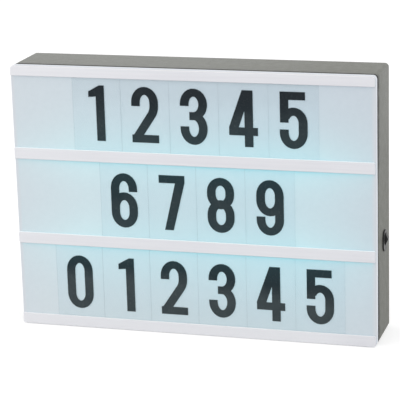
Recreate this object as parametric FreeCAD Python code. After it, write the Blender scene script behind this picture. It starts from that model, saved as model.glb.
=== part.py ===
"""Cinema light box: a battery lamp whose lit front takes rows of character tiles.

Frame: millimetres, X to the right, Y towards the back, Z up.
The origin is on the resting face, in the middle of the box's width and depth.
"""
import FreeCAD, Part
import math
import os

from FreeCAD import Vector

# ---------------------------------------------------------------- the box
BOX_WIDTH = 300.0              # X, over the side walls
BOX_DEPTH = 54.0               # Y, front face of the panel to the back wall
CORNER_RADIUS = 3.2            # the four corners seen from the front
SHADOW_GAP = 2.6               # open joint between front panel and housing

# ---------------------------------------------------------------- tiles and rails
TILE_WIDTH = 40.2
TILE_HEIGHT = 69.0
TILE_THICKNESS = 0.4
TILE_CORNER = 1.5
TILE_SIDE_GAP = 0.3            # between neighbours in a row
TILE_PLAY = 0.5                # free height between two channel floors
TILE_SEAT_GAP = 0.1            # under a tile
ROW_COUNTS = (6, 4, 5)         # tiles, from the bottom row to the top row
ROW_SHIFTS = (3.4, 4.1, 4.0)   # middle of each row, right of the box's middle

RAIL_WEB = 2.2                 # height of a middle rail's web
RAIL_LIP_THICKNESS = 0.8
RAIL_CHANNEL = 0.8             # depth of the slot that a tile slides in
RAIL_EDGE = 0.35               # broken front edges of the lips
RAIL_CORNER = 1.2              # the four corners of a rail seen from the front
RAIL_END_INSET = 0.5           # rail ends inside the panel's sides
RAIL_EDGE_INSET = 0.15         # outer edges of the top and bottom rails inside its outline
BOTTOM_WEB = 4.4               # channel floor of the bottom row above the resting face
TOP_WEB = 2.0                  # from the top row's upper channel floor to the top
LIP_UP = (5.0, 3.75, 3.75)     # bottom rail, lower middle rail, upper middle rail
LIP_DOWN = (3.75, 3.75, 6.25)  # lower middle rail, upper middle rail, top rail

# ---------------------------------------------------------------- front panel
PANEL_SKIN = 1.8
PANEL_WALL = 2.0
PANEL_SIDE = 5.8               # depth of its side wall
PANEL_EDGE = 1.0               # rounded front edge
PANEL_BOSS_RADIUS = 2.9

# ---------------------------------------------------------------- rear housing
HOUSING_WALL = 2.4
HOUSING_EDGE = 1.0             # rounded rear edge
LIP_FIT = 0.25                 # housing lip inside the panel's side wall
LIP_THICKNESS = 1.35
LIP_REACH = 4.0                # how far the lip stands out of the rim, into the panel
LIP_ROOT = 4.0                 # how far it runs back along the housing wall

POST_INSET = 6.9               # screw posts from the outer walls
POST_RADIUS = 4.8
POST_REACH = 2.0               # post fronts behind the housing rim
SCREW_SEAT = 6.0               # material under a screw head
SCREW_RADIUS = 1.25            # also the pilot holes that the points bite in
SCREW_HOLE_GAP = 0.35          # round a shank in its post
SCREW_HEAD_RADIUS = 2.7
SCREW_HEAD = 1.8
SCREW_BITE = 5.5               # how far a screw enters its boss
SCREW_WELL_RADIUS = 3.3
BOSS_BLIND = 0.6               # left at the end of a pilot hole

RIB_THICKNESS = 1.5
RIB_HEIGHT = 5.0
RIB_SIDE = 72.0                # side walls to the two upright ribs
RIB_END = (46.0, 57.3)         # resting face to the lower level rib, top to the upper one

KEYHOLE_X = 90.0               # either side of the middle
KEYHOLE_DROP = 40.0            # round entry below the top
KEYHOLE_RADIUS = 4.5
KEYHOLE_SLOT = 4.4             # slot width
KEYHOLE_RISE = 9.0             # slot length above the entry's centre
KEYHOLE_POCKET = 9.0           # depth behind the back wall
KEYHOLE_WALL = 1.5
KEYHOLE_MARGIN = 1.6           # pocket round the hole and slot

# ---------------------------------------------------------------- battery bay
CELL_COUNT = 6
CELL_RADIUS = 7.25
CELL_BODY = 49.3
CELL_NUB = 1.2
CELL_NUB_RADIUS = 2.75
CELL_PITCH = 15.3
CELL_SIDE_GAP = 0.6
CELL_FLOOR_GAP = 0.3
CELL_DOOR_GAP = 0.7
BAY_BOTTOM = 80.0              # inner lower end of the bay
BAY_WALL = 2.4
BAY_FLOOR = 2.0
BAY_RIB = 1.6                  # low ribs that part the cells
BAY_RIB_HEIGHT = 4.0
BAY_RIB_END = 6.0              # the ribs stop short of the contact plates
PLATE_THICKNESS = 0.4
PLATE_WIDTH = 10.0
PLATE_HEIGHT = 9.6
PLATE_TAIL = 6.4               # solder tail through the bay's upper wall
PLATE_TAIL_WIDTH = 2.6
TAIL_SLOT_GAP = 0.3
SPRING_RISE = 4.5              # arch of a leaf spring
SPRING_THICKNESS = 0.3
SPRING_WIDTH = 6.0
SPRING_GAP = 0.1

DOOR_THICKNESS = 2.0
DOOR_LEDGE = 2.0
DOOR_FIT = 0.3
DOOR_CORNER = 2.0
TAB_WIDTH = 8.0
TAB_THICKNESS = 1.4
TAB_REACH = 2.6                # below the door's lower edge
TAB_RISE = 2.2                 # root of a tab above the door's lower edge
TAB_ROOT = 0.4
TAB_FIT = 0.3                  # tab to the back wall's inner face
TAB_SLOT_SIDE = 0.5
TAB_SLOT_DEPTH = 5.2
LATCH_WIDTH = 9.0
LATCH_LENGTH = 12.0
LATCH_SLIT = 0.9
LATCH_HOOK = 2.0
LATCH_HOOK_HEIGHT = 2.2
GRIP_COUNT = 4                 # grip grooves across the tongue
GRIP_PITCH = 2.0
GRIP_WIDTH = 0.9
GRIP_DEPTH = 0.5
GRIP_END = 2.4                 # door's top edge to the middle of the first groove

# ---------------------------------------------------------------- reflector tray and LEDs
TRAY_THICKNESS = 1.0
TRAY_FLOOR_Y = -4.0            # front face of the tray's floor
TRAY_FLOOR_MARGIN = 16.0       # side walls to the tray's floor
TRAY_FLOOR_END = 22.0          # top and bottom walls to the tray's floor
TRAY_MOUTH_MARGIN = 5.5        # side walls to the tray's mouth
TRAY_MOUTH_END = 12.6          # top and bottom walls to the tray's mouth
TRAY_MOUTH_GAP = 4.5           # mouth behind the panel's skin
TRAY_POST_SIDE = 40.0          # side walls to the tray's posts
TRAY_POST_END = 35.0           # resting face and top to the tray's posts
TRAY_POST_RADIUS = 3.4
TRAY_SCREW_PILOT = 1.0
TRAY_SCREW_HOLE = 1.4
TRAY_SCREW_LENGTH = 8.0
TRAY_SCREW_HEAD_RADIUS = 2.3
TRAY_SCREW_HEAD = 1.3

BOARD_END_GAP = 2.0            # board ends to the tray's flared sides
BOARD_WIDTH = 9.0
BOARD_THICKNESS = 1.0
LED_COUNT = 12
LED_END = 13.3                 # board end to the middle of the first LED
LED_LENGTH = 5.6
LED_WIDTH = 3.0
LED_THICKNESS = 1.2
LED_WINDOW_EDGE = 0.5          # round the raised window of an LED
LED_WINDOW = 0.3               # how far it is raised
RESISTOR_EVERY = 3             # one resistor for each group of LEDs
RESISTOR_LENGTH = 3.2
RESISTOR_WIDTH = 1.6
RESISTOR_THICKNESS = 0.6

# ---------------------------------------------------------------- switch
SWITCH_BACK = 31.6             # behind the front face
SWITCH_Z = 79.4
BEZEL_WIDTH = 13.4             # Y
BEZEL_HEIGHT = 17.4            # Z
BEZEL_THICKNESS = 1.2
BEZEL_CORNER = 6.0
SLEEVE_WIDTH = 8.0
SLEEVE_HEIGHT = 13.0
SLEEVE_DEPTH = 3.0             # behind the wall's outer face
SLEEVE_CORNER = 2.0
SLEEVE_FIT = 0.2
STEM_WIDTH = 2.6
STEM_HEIGHT = 4.6
STEM_FIT = 0.4
SLIDER_TRAVEL = 3.0
KNOB_WIDTH = 4.2
KNOB_HEIGHT = 9.0
KNOB_BASE = 0.4                # straight sides under the slopes
KNOB_RIDGE = 0.8               # flat top of the ridge
KNOB_PROUD = 3.6               # ridge above the housing wall
KNOB_GAP = 0.15
SWITCH_BODY_DEPTH = 6.0
SWITCH_BODY_WALL = 1.2
SLIDER_WIDTH = 4.4
SLIDER_HEIGHT = 6.0
SLIDER_DEPTH = 3.2
SLIDER_GAP = 0.5
TERMINAL_COUNT = 3
TERMINAL_PITCH = 4.0
TERMINAL_LENGTH = 3.5
TERMINAL_WIDTH = 1.8
TERMINAL_THICKNESS = 0.8

# ---------------------------------------------------------------- wires
WIRE_RADIUS = 0.7
WIRE_HOLE_GAP = 0.5
WIRE_LAYER = 6.0               # behind the back of the tray's floor
LINK_WIDTH = 2.8               # flat two-core wire between the boards
LINK_THICKNESS = 1.4
LINK_BEND = 4.0
LINK_SIDE = 34.0               # side wall to the link wire
LED_WIRE_SIDE = 26.0           # side wall to where the switch's wire meets its board
RETURN_SIDE = 46.0             # side wall to where the battery's wire meets its board
PLUS_RISE = 10.0               # how far the battery's wires rise above their solder tails
MINUS_RISE = 16.0
PLUS_BENDS = (0.45, 0.80, 0.88)    # shares of the way from the tail to the switch
MINUS_BEND = 0.45              # share of the way from the tail to the board
WIRE_SWAY = 2.1                # how far a loose wire wanders from its plane

# ---------------------------------------------------------------- worked out once
FRONT = -BOX_DEPTH / 2
BACK = BOX_DEPTH / 2
HALF_WIDTH = BOX_WIDTH / 2
CHANNEL_HEIGHT = TILE_HEIGHT + TILE_PLAY
ROW_PITCH = CHANNEL_HEIGHT + RAIL_WEB
ROW_FLOORS = [BOTTOM_WEB + i * ROW_PITCH for i in range(len(ROW_COUNTS))]
TOP_FLOOR = ROW_FLOORS[-1] + CHANNEL_HEIGHT
BOX_HEIGHT = TOP_FLOOR + TOP_WEB
RIM = FRONT + PANEL_SIDE + SHADOW_GAP
BACK_INNER = BACK - HOUSING_WALL
POST_FRONT = RIM + POST_REACH
SEAT_Y = POST_FRONT + SCREW_SEAT
SCREW_PLACES = [
    (x, z)
    for x in (-HALF_WIDTH + POST_INSET, 0.0, HALF_WIDTH - POST_INSET)
    for z in (POST_INSET, BOX_HEIGHT - POST_INSET)
]
TRAY_BACK = TRAY_FLOOR_Y + TRAY_THICKNESS
TRAY_POSTS = [
    (x, z)
    for x in (-HALF_WIDTH + TRAY_POST_SIDE, HALF_WIDTH - TRAY_POST_SIDE)
    for z in (TRAY_POST_END, BOX_HEIGHT - TRAY_POST_END)
]
BOARD_Z = [floor - RAIL_WEB / 2 for floor in ROW_FLOORS[1:]]
BOARD_HALF = HALF_WIDTH - TRAY_FLOOR_MARGIN - TRAY_THICKNESS - BOARD_END_GAP
LED_PITCH = 2 * (BOARD_HALF - LED_END) / (LED_COUNT - 1)
LINK_X = HALF_WIDTH - LINK_SIDE
LED_WIRE_X = HALF_WIDTH - LED_WIRE_SIDE
RETURN_X = HALF_WIDTH - RETURN_SIDE

BAY_WIDTH = (CELL_COUNT - 1) * CELL_PITCH + 2 * CELL_RADIUS + 2 * CELL_SIDE_GAP
BAY_HEIGHT = CELL_BODY + CELL_NUB + SPRING_RISE + SPRING_GAP + 2 * PLATE_THICKNESS
BAY_TOP = BAY_BOTTOM + BAY_HEIGHT
LEDGE_Y = BACK - DOOR_THICKNESS
CELL_Y = LEDGE_Y - CELL_DOOR_GAP - CELL_RADIUS
BAY_FLOOR_Y = CELL_Y - CELL_RADIUS - CELL_FLOOR_GAP
CELL_X = [(i - (CELL_COUNT - 1) / 2) * CELL_PITCH for i in range(CELL_COUNT)]
DOOR_X = BAY_WIDTH / 2 + DOOR_LEDGE - DOOR_FIT
DOOR_BOTTOM = BAY_BOTTOM - DOOR_LEDGE + DOOR_FIT
DOOR_TOP = BAY_TOP + DOOR_LEDGE - DOOR_FIT
TAB_X = 2 * CELL_PITCH

SWITCH_Y = FRONT + SWITCH_BACK
SLEEVE_END = HALF_WIDTH - SLEEVE_DEPTH
KNOB_Z = SWITCH_Z + SLIDER_TRAVEL / 2
TERMINAL_X = SLEEVE_END - SWITCH_BODY_DEPTH


# ---------------------------------------------------------------- shared helpers
def block(x0, x1, y0, y1, z0, z1):
    """A plain block between two corners."""
    return Part.makeBox(x1 - x0, y1 - y0, z1 - z0, Vector(x0, y0, z0))


def edges_along(shape, axis):
    """The straight edges of a block that run along one axis."""
    found = []
    for edge in shape.Edges:
        start, end = (vertex.Point for vertex in edge.Vertexes[:2])
        if abs((end - start).normalize().dot(axis)) > 0.999:
            found.append(edge)
    return found


def rounded_block(x0, x1, y0, y1, z0, z1, radius, axis):
    """A block whose four edges along one axis are rounded."""
    solid = block(x0, x1, y0, y1, z0, z1)
    return solid.makeFillet(radius, edges_along(solid, axis))


def front_outline(inset, y0, y1, radius=CORNER_RADIUS):
    """The box's outline seen from the front, drawn in by an inset and given a depth."""
    corner = max(radius - inset, 0.6)
    return rounded_block(-HALF_WIDTH + inset, HALF_WIDTH - inset, y0, y1,
                         inset, BOX_HEIGHT - inset, corner, Vector(0, 1, 0))


def round_rim(solid, y, radius):
    """Round the outer edge of a flat end face at one depth."""
    rim = [edge for edge in solid.Edges
           if abs(edge.BoundBox.YMin - y) < 1e-6 and abs(edge.BoundBox.YMax - y) < 1e-6]
    return solid.makeFillet(radius, rim)


def rod(x, z, radius, y0, y1):
    """A round bar along Y."""
    return Part.makeCylinder(radius, y1 - y0, Vector(x, y0, z), Vector(0, 1, 0))


def extrude_x(points, x0, x1):
    """A closed outline in the YZ plane, drawn out along X."""
    ring = [Vector(x0, y, z) for y, z in points]
    face = Part.Face(Part.makePolygon(ring + ring[:1]))
    return face.extrude(Vector(x1 - x0, 0, 0))


def tube(points, radius):
    """A wire of straight runs joined by arcs as large as its runs allow."""
    edges = []
    start = points[0]
    for before, corner, after in zip(points, points[1:], points[2:]):
        way_in = (corner - before).normalize()
        way_out = (after - corner).normalize()
        turn = way_in.getAngle(way_out)
        reach = 0.45 * min(corner.distanceToPoint(before), corner.distanceToPoint(after))
        bend = reach / math.tan(turn / 2)
        first = corner - way_in * reach
        last = corner + way_out * reach
        inward = (way_out - way_in).normalize()
        centre = corner + inward * (bend / math.cos(turn / 2))
        middle = centre - inward * bend
        edges.append(Part.LineSegment(start, first).toShape())
        edges.append(Part.Arc(first, middle, last).toShape())
        start = last
    edges.append(Part.LineSegment(start, points[-1]).toShape())
    path = Part.Wire(edges)
    section = Part.Wire(Part.Circle(points[0], points[1] - points[0], radius).toShape())
    solid = path.makePipeShell([section], True, False)
    expected = math.pi * radius ** 2 * path.Length
    print("wire %.1f mm long, volume %.4f of expected" % (path.Length, solid.Volume / expected))
    return solid


def save(name, shapes):
    """Write one node; several solids of a node are kept apart."""
    solids = [solid for shape in shapes for solid in shape.Solids]
    shape = solids[0] if len(solids) == 1 else Part.makeCompound(solids)
    shape.exportStep("parts/" + name + ".step")
    print("%-24s %2d solid(s) %10.1f mm3" % (name, len(solids), shape.Volume))


# ---------------------------------------------------------------- front panel
def make_front_panel():
    """A shallow translucent pan with six screw bosses."""
    pan = round_rim(front_outline(0.0, FRONT, FRONT + PANEL_SIDE), FRONT, PANEL_EDGE)
    pan = pan.cut(front_outline(PANEL_WALL, FRONT + PANEL_SKIN, FRONT + PANEL_SIDE))
    skin_back = FRONT + PANEL_SKIN
    for x, z in SCREW_PLACES:
        pan = pan.fuse(rod(x, z, PANEL_BOSS_RADIUS, skin_back, POST_FRONT))
    for x, z in SCREW_PLACES:
        pan = pan.cut(rod(x, z, SCREW_RADIUS, skin_back + BOSS_BLIND, POST_FRONT))
    return pan.removeSplitter()


# ---------------------------------------------------------------- rails
def make_rail(web_low, web_high, lip_low, lip_high):
    """A web on the panel that carries a lip in front of the tiles, from end to end."""
    web_front = FRONT - RAIL_CHANNEL
    lip_front = web_front - RAIL_LIP_THICKNESS
    profile = [
        (FRONT, web_low), (web_front, web_low), (web_front, lip_low),
        (lip_front + RAIL_EDGE, lip_low), (lip_front, lip_low + RAIL_EDGE),
        (lip_front, lip_high - RAIL_EDGE), (lip_front + RAIL_EDGE, lip_high),
        (web_front, lip_high), (web_front, web_high), (FRONT, web_high),
    ]
    tidy = [point for i, point in enumerate(profile) if point != profile[i - 1]]
    end = HALF_WIDTH - RAIL_END_INSET
    bar = extrude_x(tidy, -end, end)
    corners = rounded_block(-end, end, lip_front, FRONT, lip_low, lip_high,
                            RAIL_CORNER, Vector(0, 1, 0))
    return bar.common(corners).common(front_outline(RAIL_EDGE_INSET, lip_front, FRONT))


def make_rails():
    """Four rails: one under each row and one over the top row."""
    low_edge = RAIL_EDGE_INSET
    high_edge = BOX_HEIGHT - RAIL_EDGE_INSET
    rails = {"bottom_rail": make_rail(low_edge, ROW_FLOORS[0], low_edge, ROW_FLOORS[0] + LIP_UP[0])}
    names = ("lower_middle_rail", "upper_middle_rail")
    for name, floor, down, up in zip(names, ROW_FLOORS[1:], LIP_DOWN, LIP_UP[1:]):
        web_low = floor - RAIL_WEB
        rails[name] = make_rail(web_low, floor, web_low - down, floor + up)
    rails["top_rail"] = make_rail(TOP_FLOOR, high_edge, TOP_FLOOR - LIP_DOWN[2], high_edge)
    return rails


# ---------------------------------------------------------------- tiles
def make_tile(left, floor):
    """A clear sheet with rounded corners, in the middle of its channel."""
    y0 = FRONT - (RAIL_CHANNEL + TILE_THICKNESS) / 2
    low = floor + TILE_SEAT_GAP
    return rounded_block(left, left + TILE_WIDTH, y0, y0 + TILE_THICKNESS,
                         low, low + TILE_HEIGHT, TILE_CORNER, Vector(0, 1, 0))


def make_tiles():
    """The tiles, named by row from the top and by place from the left."""
    pitch = TILE_WIDTH + TILE_SIDE_GAP
    tiles = {}
    for row, (count, shift, floor) in enumerate(zip(ROW_COUNTS, ROW_SHIFTS, ROW_FLOORS)):
        row_name = len(ROW_COUNTS) - row
        left = shift - (count * pitch - TILE_SIDE_GAP) / 2
        for place in range(count):
            name = "tile_%d_%d" % (row_name, place + 1)
            tiles[name] = make_tile(left + place * pitch, floor)
    return tiles


# ---------------------------------------------------------------- rear housing
def housing_shell():
    """The tub, with the lip that centres the front panel."""
    shell = round_rim(front_outline(0.0, RIM, BACK), BACK, HOUSING_EDGE)
    shell = shell.cut(front_outline(HOUSING_WALL, RIM, BACK_INNER))
    lip_inset = PANEL_WALL + LIP_FIT
    lip = front_outline(lip_inset, RIM - LIP_REACH, RIM + LIP_ROOT)
    lip = lip.cut(front_outline(lip_inset + LIP_THICKNESS, RIM - LIP_REACH, RIM + LIP_ROOT))
    return shell.fuse(lip)


def housing_ribs():
    """Upright and level stiffening ribs on the back wall."""
    y0 = BACK_INNER - RIB_HEIGHT
    low = HOUSING_WALL
    high = BOX_HEIGHT - HOUSING_WALL
    side = HALF_WIDTH - HOUSING_WALL
    half = RIB_THICKNESS / 2
    rib_x = HALF_WIDTH - RIB_SIDE
    rib_z = (RIB_END[0], BOX_HEIGHT - RIB_END[1])
    ribs = [block(x - half, x + half, y0, BACK_INNER, low, high) for x in (-rib_x, rib_x)]
    ribs += [block(-side, side, y0, BACK_INNER, z - half, z + half) for z in rib_z]
    return ribs


def keyhole_pocket(x):
    """The closed pocket behind one keyhole."""
    z = BOX_HEIGHT - KEYHOLE_DROP
    half = KEYHOLE_RADIUS + KEYHOLE_MARGIN + KEYHOLE_WALL
    low = z - half
    high = z + KEYHOLE_RISE + KEYHOLE_SLOT / 2 + KEYHOLE_MARGIN + KEYHOLE_WALL
    y0 = BACK_INNER - KEYHOLE_POCKET - KEYHOLE_WALL
    return rounded_block(x - half, x + half, y0, BACK_INNER, low, high, KEYHOLE_WALL, Vector(0, 1, 0))


def keyhole_room(x):
    """The space inside one pocket, its round entry and its slot."""
    z = BOX_HEIGHT - KEYHOLE_DROP
    half = KEYHOLE_RADIUS + KEYHOLE_MARGIN
    high = z + KEYHOLE_RISE + KEYHOLE_SLOT / 2 + KEYHOLE_MARGIN
    room = block(x - half, x + half, BACK_INNER - KEYHOLE_POCKET, BACK_INNER, z - half, high)
    entry = rod(x, z, KEYHOLE_RADIUS, BACK_INNER, BACK)
    slot = block(x - KEYHOLE_SLOT / 2, x + KEYHOLE_SLOT / 2, BACK_INNER, BACK, z, z + KEYHOLE_RISE)
    slot_end = rod(x, z + KEYHOLE_RISE, KEYHOLE_SLOT / 2, BACK_INNER, BACK)
    return room.fuse([entry, slot, slot_end])


def bay_walls():
    """The battery bay: a box let into the back of the housing."""
    return block(-BAY_WIDTH / 2 - BAY_WALL, BAY_WIDTH / 2 + BAY_WALL, BAY_FLOOR_Y - BAY_FLOOR,
                 BACK_INNER, BAY_BOTTOM - BAY_WALL, BAY_TOP + BAY_WALL)


def bay_room():
    """The space for the cells, with the ribs between them, and the door's recess."""
    room = block(-BAY_WIDTH / 2, BAY_WIDTH / 2, BAY_FLOOR_Y, BACK, BAY_BOTTOM, BAY_TOP)
    for left, right in zip(CELL_X, CELL_X[1:]):
        x = (left + right) / 2
        rib = block(x - BAY_RIB / 2, x + BAY_RIB / 2, BAY_FLOOR_Y, BAY_FLOOR_Y + BAY_RIB_HEIGHT,
                    BAY_BOTTOM + BAY_RIB_END, BAY_TOP - BAY_RIB_END)
        room = room.cut(rib)
    recess = rounded_block(-BAY_WIDTH / 2 - DOOR_LEDGE, BAY_WIDTH / 2 + DOOR_LEDGE, LEDGE_Y, BACK,
                           BAY_BOTTOM - DOOR_LEDGE, BAY_TOP + DOOR_LEDGE, DOOR_CORNER, Vector(0, 1, 0))
    return room.fuse(recess)


def bay_slots():
    """Slots in the bay's end walls for the door's tabs, its hook and the solder tails."""
    slots = []
    half = TAB_WIDTH / 2 + TAB_SLOT_SIDE
    for x in (-TAB_X, TAB_X):
        slots.append(block(x - half, x + half, LEDGE_Y - TAB_SLOT_DEPTH, LEDGE_Y,
                           BAY_BOTTOM - BAY_WALL, BAY_BOTTOM))
        slots.append(block(x - half, x + half, BACK_INNER, LEDGE_Y,
                           DOOR_BOTTOM - DOOR_FIT, BAY_BOTTOM))
    hook = LATCH_WIDTH / 2 + TAB_SLOT_SIDE
    slots.append(block(-hook, hook, LEDGE_Y - LATCH_HOOK - TAB_SLOT_SIDE, LEDGE_Y,
                       BAY_TOP, BAY_TOP + DOOR_LEDGE))
    tail = PLATE_TAIL_WIDTH / 2 + TAIL_SLOT_GAP
    thick = PLATE_THICKNESS / 2 + TAIL_SLOT_GAP
    for x in (CELL_X[0], CELL_X[-1]):
        slots.append(block(x - tail, x + tail, CELL_Y - thick, CELL_Y + thick,
                           BAY_TOP, BAY_TOP + BAY_WALL))
    return slots


def make_rear_housing():
    """The moulded tub with its bay, posts, ribs, keyholes and switch cut-out."""
    added = housing_ribs() + [bay_walls()]
    added += [keyhole_pocket(x) for x in (-KEYHOLE_X, KEYHOLE_X)]
    added += [rod(x, z, POST_RADIUS, POST_FRONT, BACK_INNER) for x, z in SCREW_PLACES]
    added += [rod(x, z, TRAY_POST_RADIUS, TRAY_BACK, BACK_INNER) for x, z in TRAY_POSTS]
    removed = [bay_room()] + bay_slots()
    removed += [keyhole_room(x) for x in (-KEYHOLE_X, KEYHOLE_X)]
    removed += [rod(x, z, SCREW_WELL_RADIUS, SEAT_Y, BACK) for x, z in SCREW_PLACES]
    hole = SCREW_RADIUS + SCREW_HOLE_GAP
    removed += [rod(x, z, hole, POST_FRONT, SEAT_Y) for x, z in SCREW_PLACES]
    pilot_end = TRAY_BACK + TRAY_SCREW_LENGTH
    removed += [rod(x, z, TRAY_SCREW_PILOT, TRAY_BACK, pilot_end) for x, z in TRAY_POSTS]
    opening_y = SLEEVE_WIDTH / 2 + SLEEVE_FIT
    opening_z = SLEEVE_HEIGHT / 2 + SLEEVE_FIT
    removed.append(rounded_block(HALF_WIDTH - HOUSING_WALL, HALF_WIDTH, SWITCH_Y - opening_y,
                                 SWITCH_Y + opening_y, SWITCH_Z - opening_z, SWITCH_Z + opening_z,
                                 SLEEVE_CORNER, Vector(1, 0, 0)))
    housing = housing_shell().fuse(added)
    outline = round_rim(front_outline(0.0, RIM - LIP_REACH, BACK), BACK, HOUSING_EDGE)
    return housing.common(outline).cut(removed).removeSplitter()


# ---------------------------------------------------------------- battery door
def make_battery_door():
    """A flush door with two tabs below and a sprung tongue with a hook above."""
    door = rounded_block(-DOOR_X, DOOR_X, LEDGE_Y, BACK, DOOR_BOTTOM, DOOR_TOP,
                         DOOR_CORNER, Vector(0, 1, 0))
    tab_y = BACK_INNER - TAB_FIT
    for x in (-TAB_X, TAB_X):
        leg = block(x - TAB_WIDTH / 2, x + TAB_WIDTH / 2, tab_y - TAB_THICKNESS, tab_y,
                    DOOR_BOTTOM - TAB_REACH, DOOR_BOTTOM + TAB_RISE)
        root = block(x - TAB_WIDTH / 2, x + TAB_WIDTH / 2, tab_y - TAB_THICKNESS, LEDGE_Y,
                     DOOR_BOTTOM + TAB_ROOT, DOOR_BOTTOM + TAB_RISE)
        door = door.fuse([leg, root])
    half = LATCH_WIDTH / 2
    hook_end = LEDGE_Y - LATCH_HOOK
    hook = extrude_x([(LEDGE_Y, DOOR_TOP - LATCH_HOOK_HEIGHT), (hook_end, DOOR_TOP - LATCH_HOOK / 2),
                      (hook_end, DOOR_TOP), (LEDGE_Y, DOOR_TOP)], -half, half)
    slits = [block(x - LATCH_SLIT / 2, x + LATCH_SLIT / 2, LEDGE_Y, BACK,
                   DOOR_TOP - LATCH_LENGTH, DOOR_TOP)
             for x in (-half - LATCH_SLIT / 2, half + LATCH_SLIT / 2)]
    grips = [DOOR_TOP - GRIP_END - i * GRIP_PITCH for i in range(GRIP_COUNT)]
    grooves = [block(-half, half, BACK - GRIP_DEPTH, BACK, z - GRIP_WIDTH / 2, z + GRIP_WIDTH / 2)
               for z in grips]
    return door.fuse(hook).cut(slits + grooves).removeSplitter()


# ---------------------------------------------------------------- cells and contacts
def make_cells():
    """The cells side by side, each turned end for end from its neighbour."""
    cells = {}
    low = BAY_BOTTOM + PLATE_THICKNESS
    high = BAY_TOP - PLATE_THICKNESS
    for i, x in enumerate(CELL_X):
        if i % 2 == 0:
            body_start = high - CELL_NUB - CELL_BODY
            nub_start = high - CELL_NUB
        else:
            body_start = low + CELL_NUB
            nub_start = low
        up = Vector(0, 0, 1)
        body = Part.makeCylinder(CELL_RADIUS, CELL_BODY, Vector(x, CELL_Y, body_start), up)
        nub = Part.makeCylinder(CELL_NUB_RADIUS, CELL_NUB, Vector(x, CELL_Y, nub_start), up)
        cells["cell_%d" % (i + 1)] = body.fuse(nub)
    return cells


def contact_plate(x0, x1, z0):
    """A flat contact on one end wall of the bay."""
    return block(x0 - PLATE_WIDTH / 2, x1 + PLATE_WIDTH / 2, CELL_Y - PLATE_HEIGHT / 2,
                 CELL_Y + PLATE_HEIGHT / 2, z0, z0 + PLATE_THICKNESS)


def make_contact_plates():
    """Plates that join the cells in a row, and two end plates with solder tails."""
    top = BAY_TOP - PLATE_THICKNESS
    plates = [contact_plate(CELL_X[i], CELL_X[i + 1], BAY_BOTTOM) for i in range(0, CELL_COUNT - 1, 2)]
    plates += [contact_plate(CELL_X[i], CELL_X[i + 1], top) for i in range(1, CELL_COUNT - 1, 2)]
    for x in (CELL_X[0], CELL_X[-1]):
        tail = block(x - PLATE_TAIL_WIDTH / 2, x + PLATE_TAIL_WIDTH / 2, CELL_Y - PLATE_THICKNESS / 2,
                     CELL_Y + PLATE_THICKNESS / 2, BAY_TOP, BAY_TOP + PLATE_TAIL)
        plates.append(contact_plate(x, x, top).fuse(tail).removeSplitter())
    return plates


def leaf_spring(x, z, upward):
    """An arched strip between a contact plate and the flat end of a cell."""
    start = Vector(x - SPRING_WIDTH / 2, CELL_Y, z)
    along = Vector(1, 0, 0)
    ring = Part.makeCylinder(SPRING_RISE, SPRING_WIDTH, start, along)
    ring = ring.cut(Part.makeCylinder(SPRING_RISE - SPRING_THICKNESS, SPRING_WIDTH, start, along))
    low = z if upward else z - SPRING_RISE
    half = block(x - SPRING_WIDTH / 2, x + SPRING_WIDTH / 2, CELL_Y - SPRING_RISE, CELL_Y + SPRING_RISE,
                 low, low + SPRING_RISE)
    return ring.common(half)


def make_contact_springs():
    """One leaf spring at the flat end of each cell."""
    low = BAY_BOTTOM + PLATE_THICKNESS
    high = BAY_TOP - PLATE_THICKNESS
    return [leaf_spring(x, low if i % 2 == 0 else high, i % 2 == 0) for i, x in enumerate(CELL_X)]


# ---------------------------------------------------------------- reflector tray and LEDs
def level_rectangle(y, side_margin, end_margin):
    """A rectangle at one depth, set in from the box's sides and from its ends."""
    x = HALF_WIDTH - side_margin
    low = end_margin
    high = BOX_HEIGHT - end_margin
    corners = [Vector(-x, y, low), Vector(x, y, low), Vector(x, y, high), Vector(-x, y, high)]
    return Part.makePolygon(corners + corners[:1])


def tray_wire_holes():
    """Holes and slots where wires come through the tray's floor to the backs of the boards."""
    places = zip((LED_WIRE_X, RETURN_X), BOARD_Z)
    holes = [rod(x, z, WIRE_RADIUS + WIRE_HOLE_GAP, TRAY_FLOOR_Y, TRAY_BACK) for x, z in places]
    wide = LINK_WIDTH / 2 + WIRE_HOLE_GAP
    high = LINK_THICKNESS / 2 + WIRE_HOLE_GAP
    holes += [block(LINK_X - wide, LINK_X + wide, TRAY_FLOOR_Y, TRAY_BACK, z - high, z + high)
              for z in BOARD_Z]
    return holes


def make_reflector_tray():
    """A white tray whose sides flare forward to the front panel."""
    mouth = FRONT + PANEL_SKIN + TRAY_MOUTH_GAP
    outer = Part.makeLoft([level_rectangle(TRAY_BACK, TRAY_FLOOR_MARGIN, TRAY_FLOOR_END),
                           level_rectangle(mouth, TRAY_MOUTH_MARGIN, TRAY_MOUTH_END)], True, True)
    inner = Part.makeLoft([level_rectangle(TRAY_FLOOR_Y, TRAY_FLOOR_MARGIN + TRAY_THICKNESS,
                                           TRAY_FLOOR_END + TRAY_THICKNESS),
                           level_rectangle(mouth, TRAY_MOUTH_MARGIN + TRAY_THICKNESS,
                                           TRAY_MOUTH_END + TRAY_THICKNESS)], True, True)
    holes = [rod(x, z, TRAY_SCREW_HOLE, TRAY_FLOOR_Y, TRAY_BACK) for x, z in TRAY_POSTS]
    return outer.cut(inner).cut(holes + tray_wire_holes())


def make_led_board(z):
    """A long narrow circuit board on the tray's floor."""
    return block(-BOARD_HALF, BOARD_HALF, TRAY_FLOOR_Y - BOARD_THICKNESS, TRAY_FLOOR_Y,
                 z - BOARD_WIDTH / 2, z + BOARD_WIDTH / 2)


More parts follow.
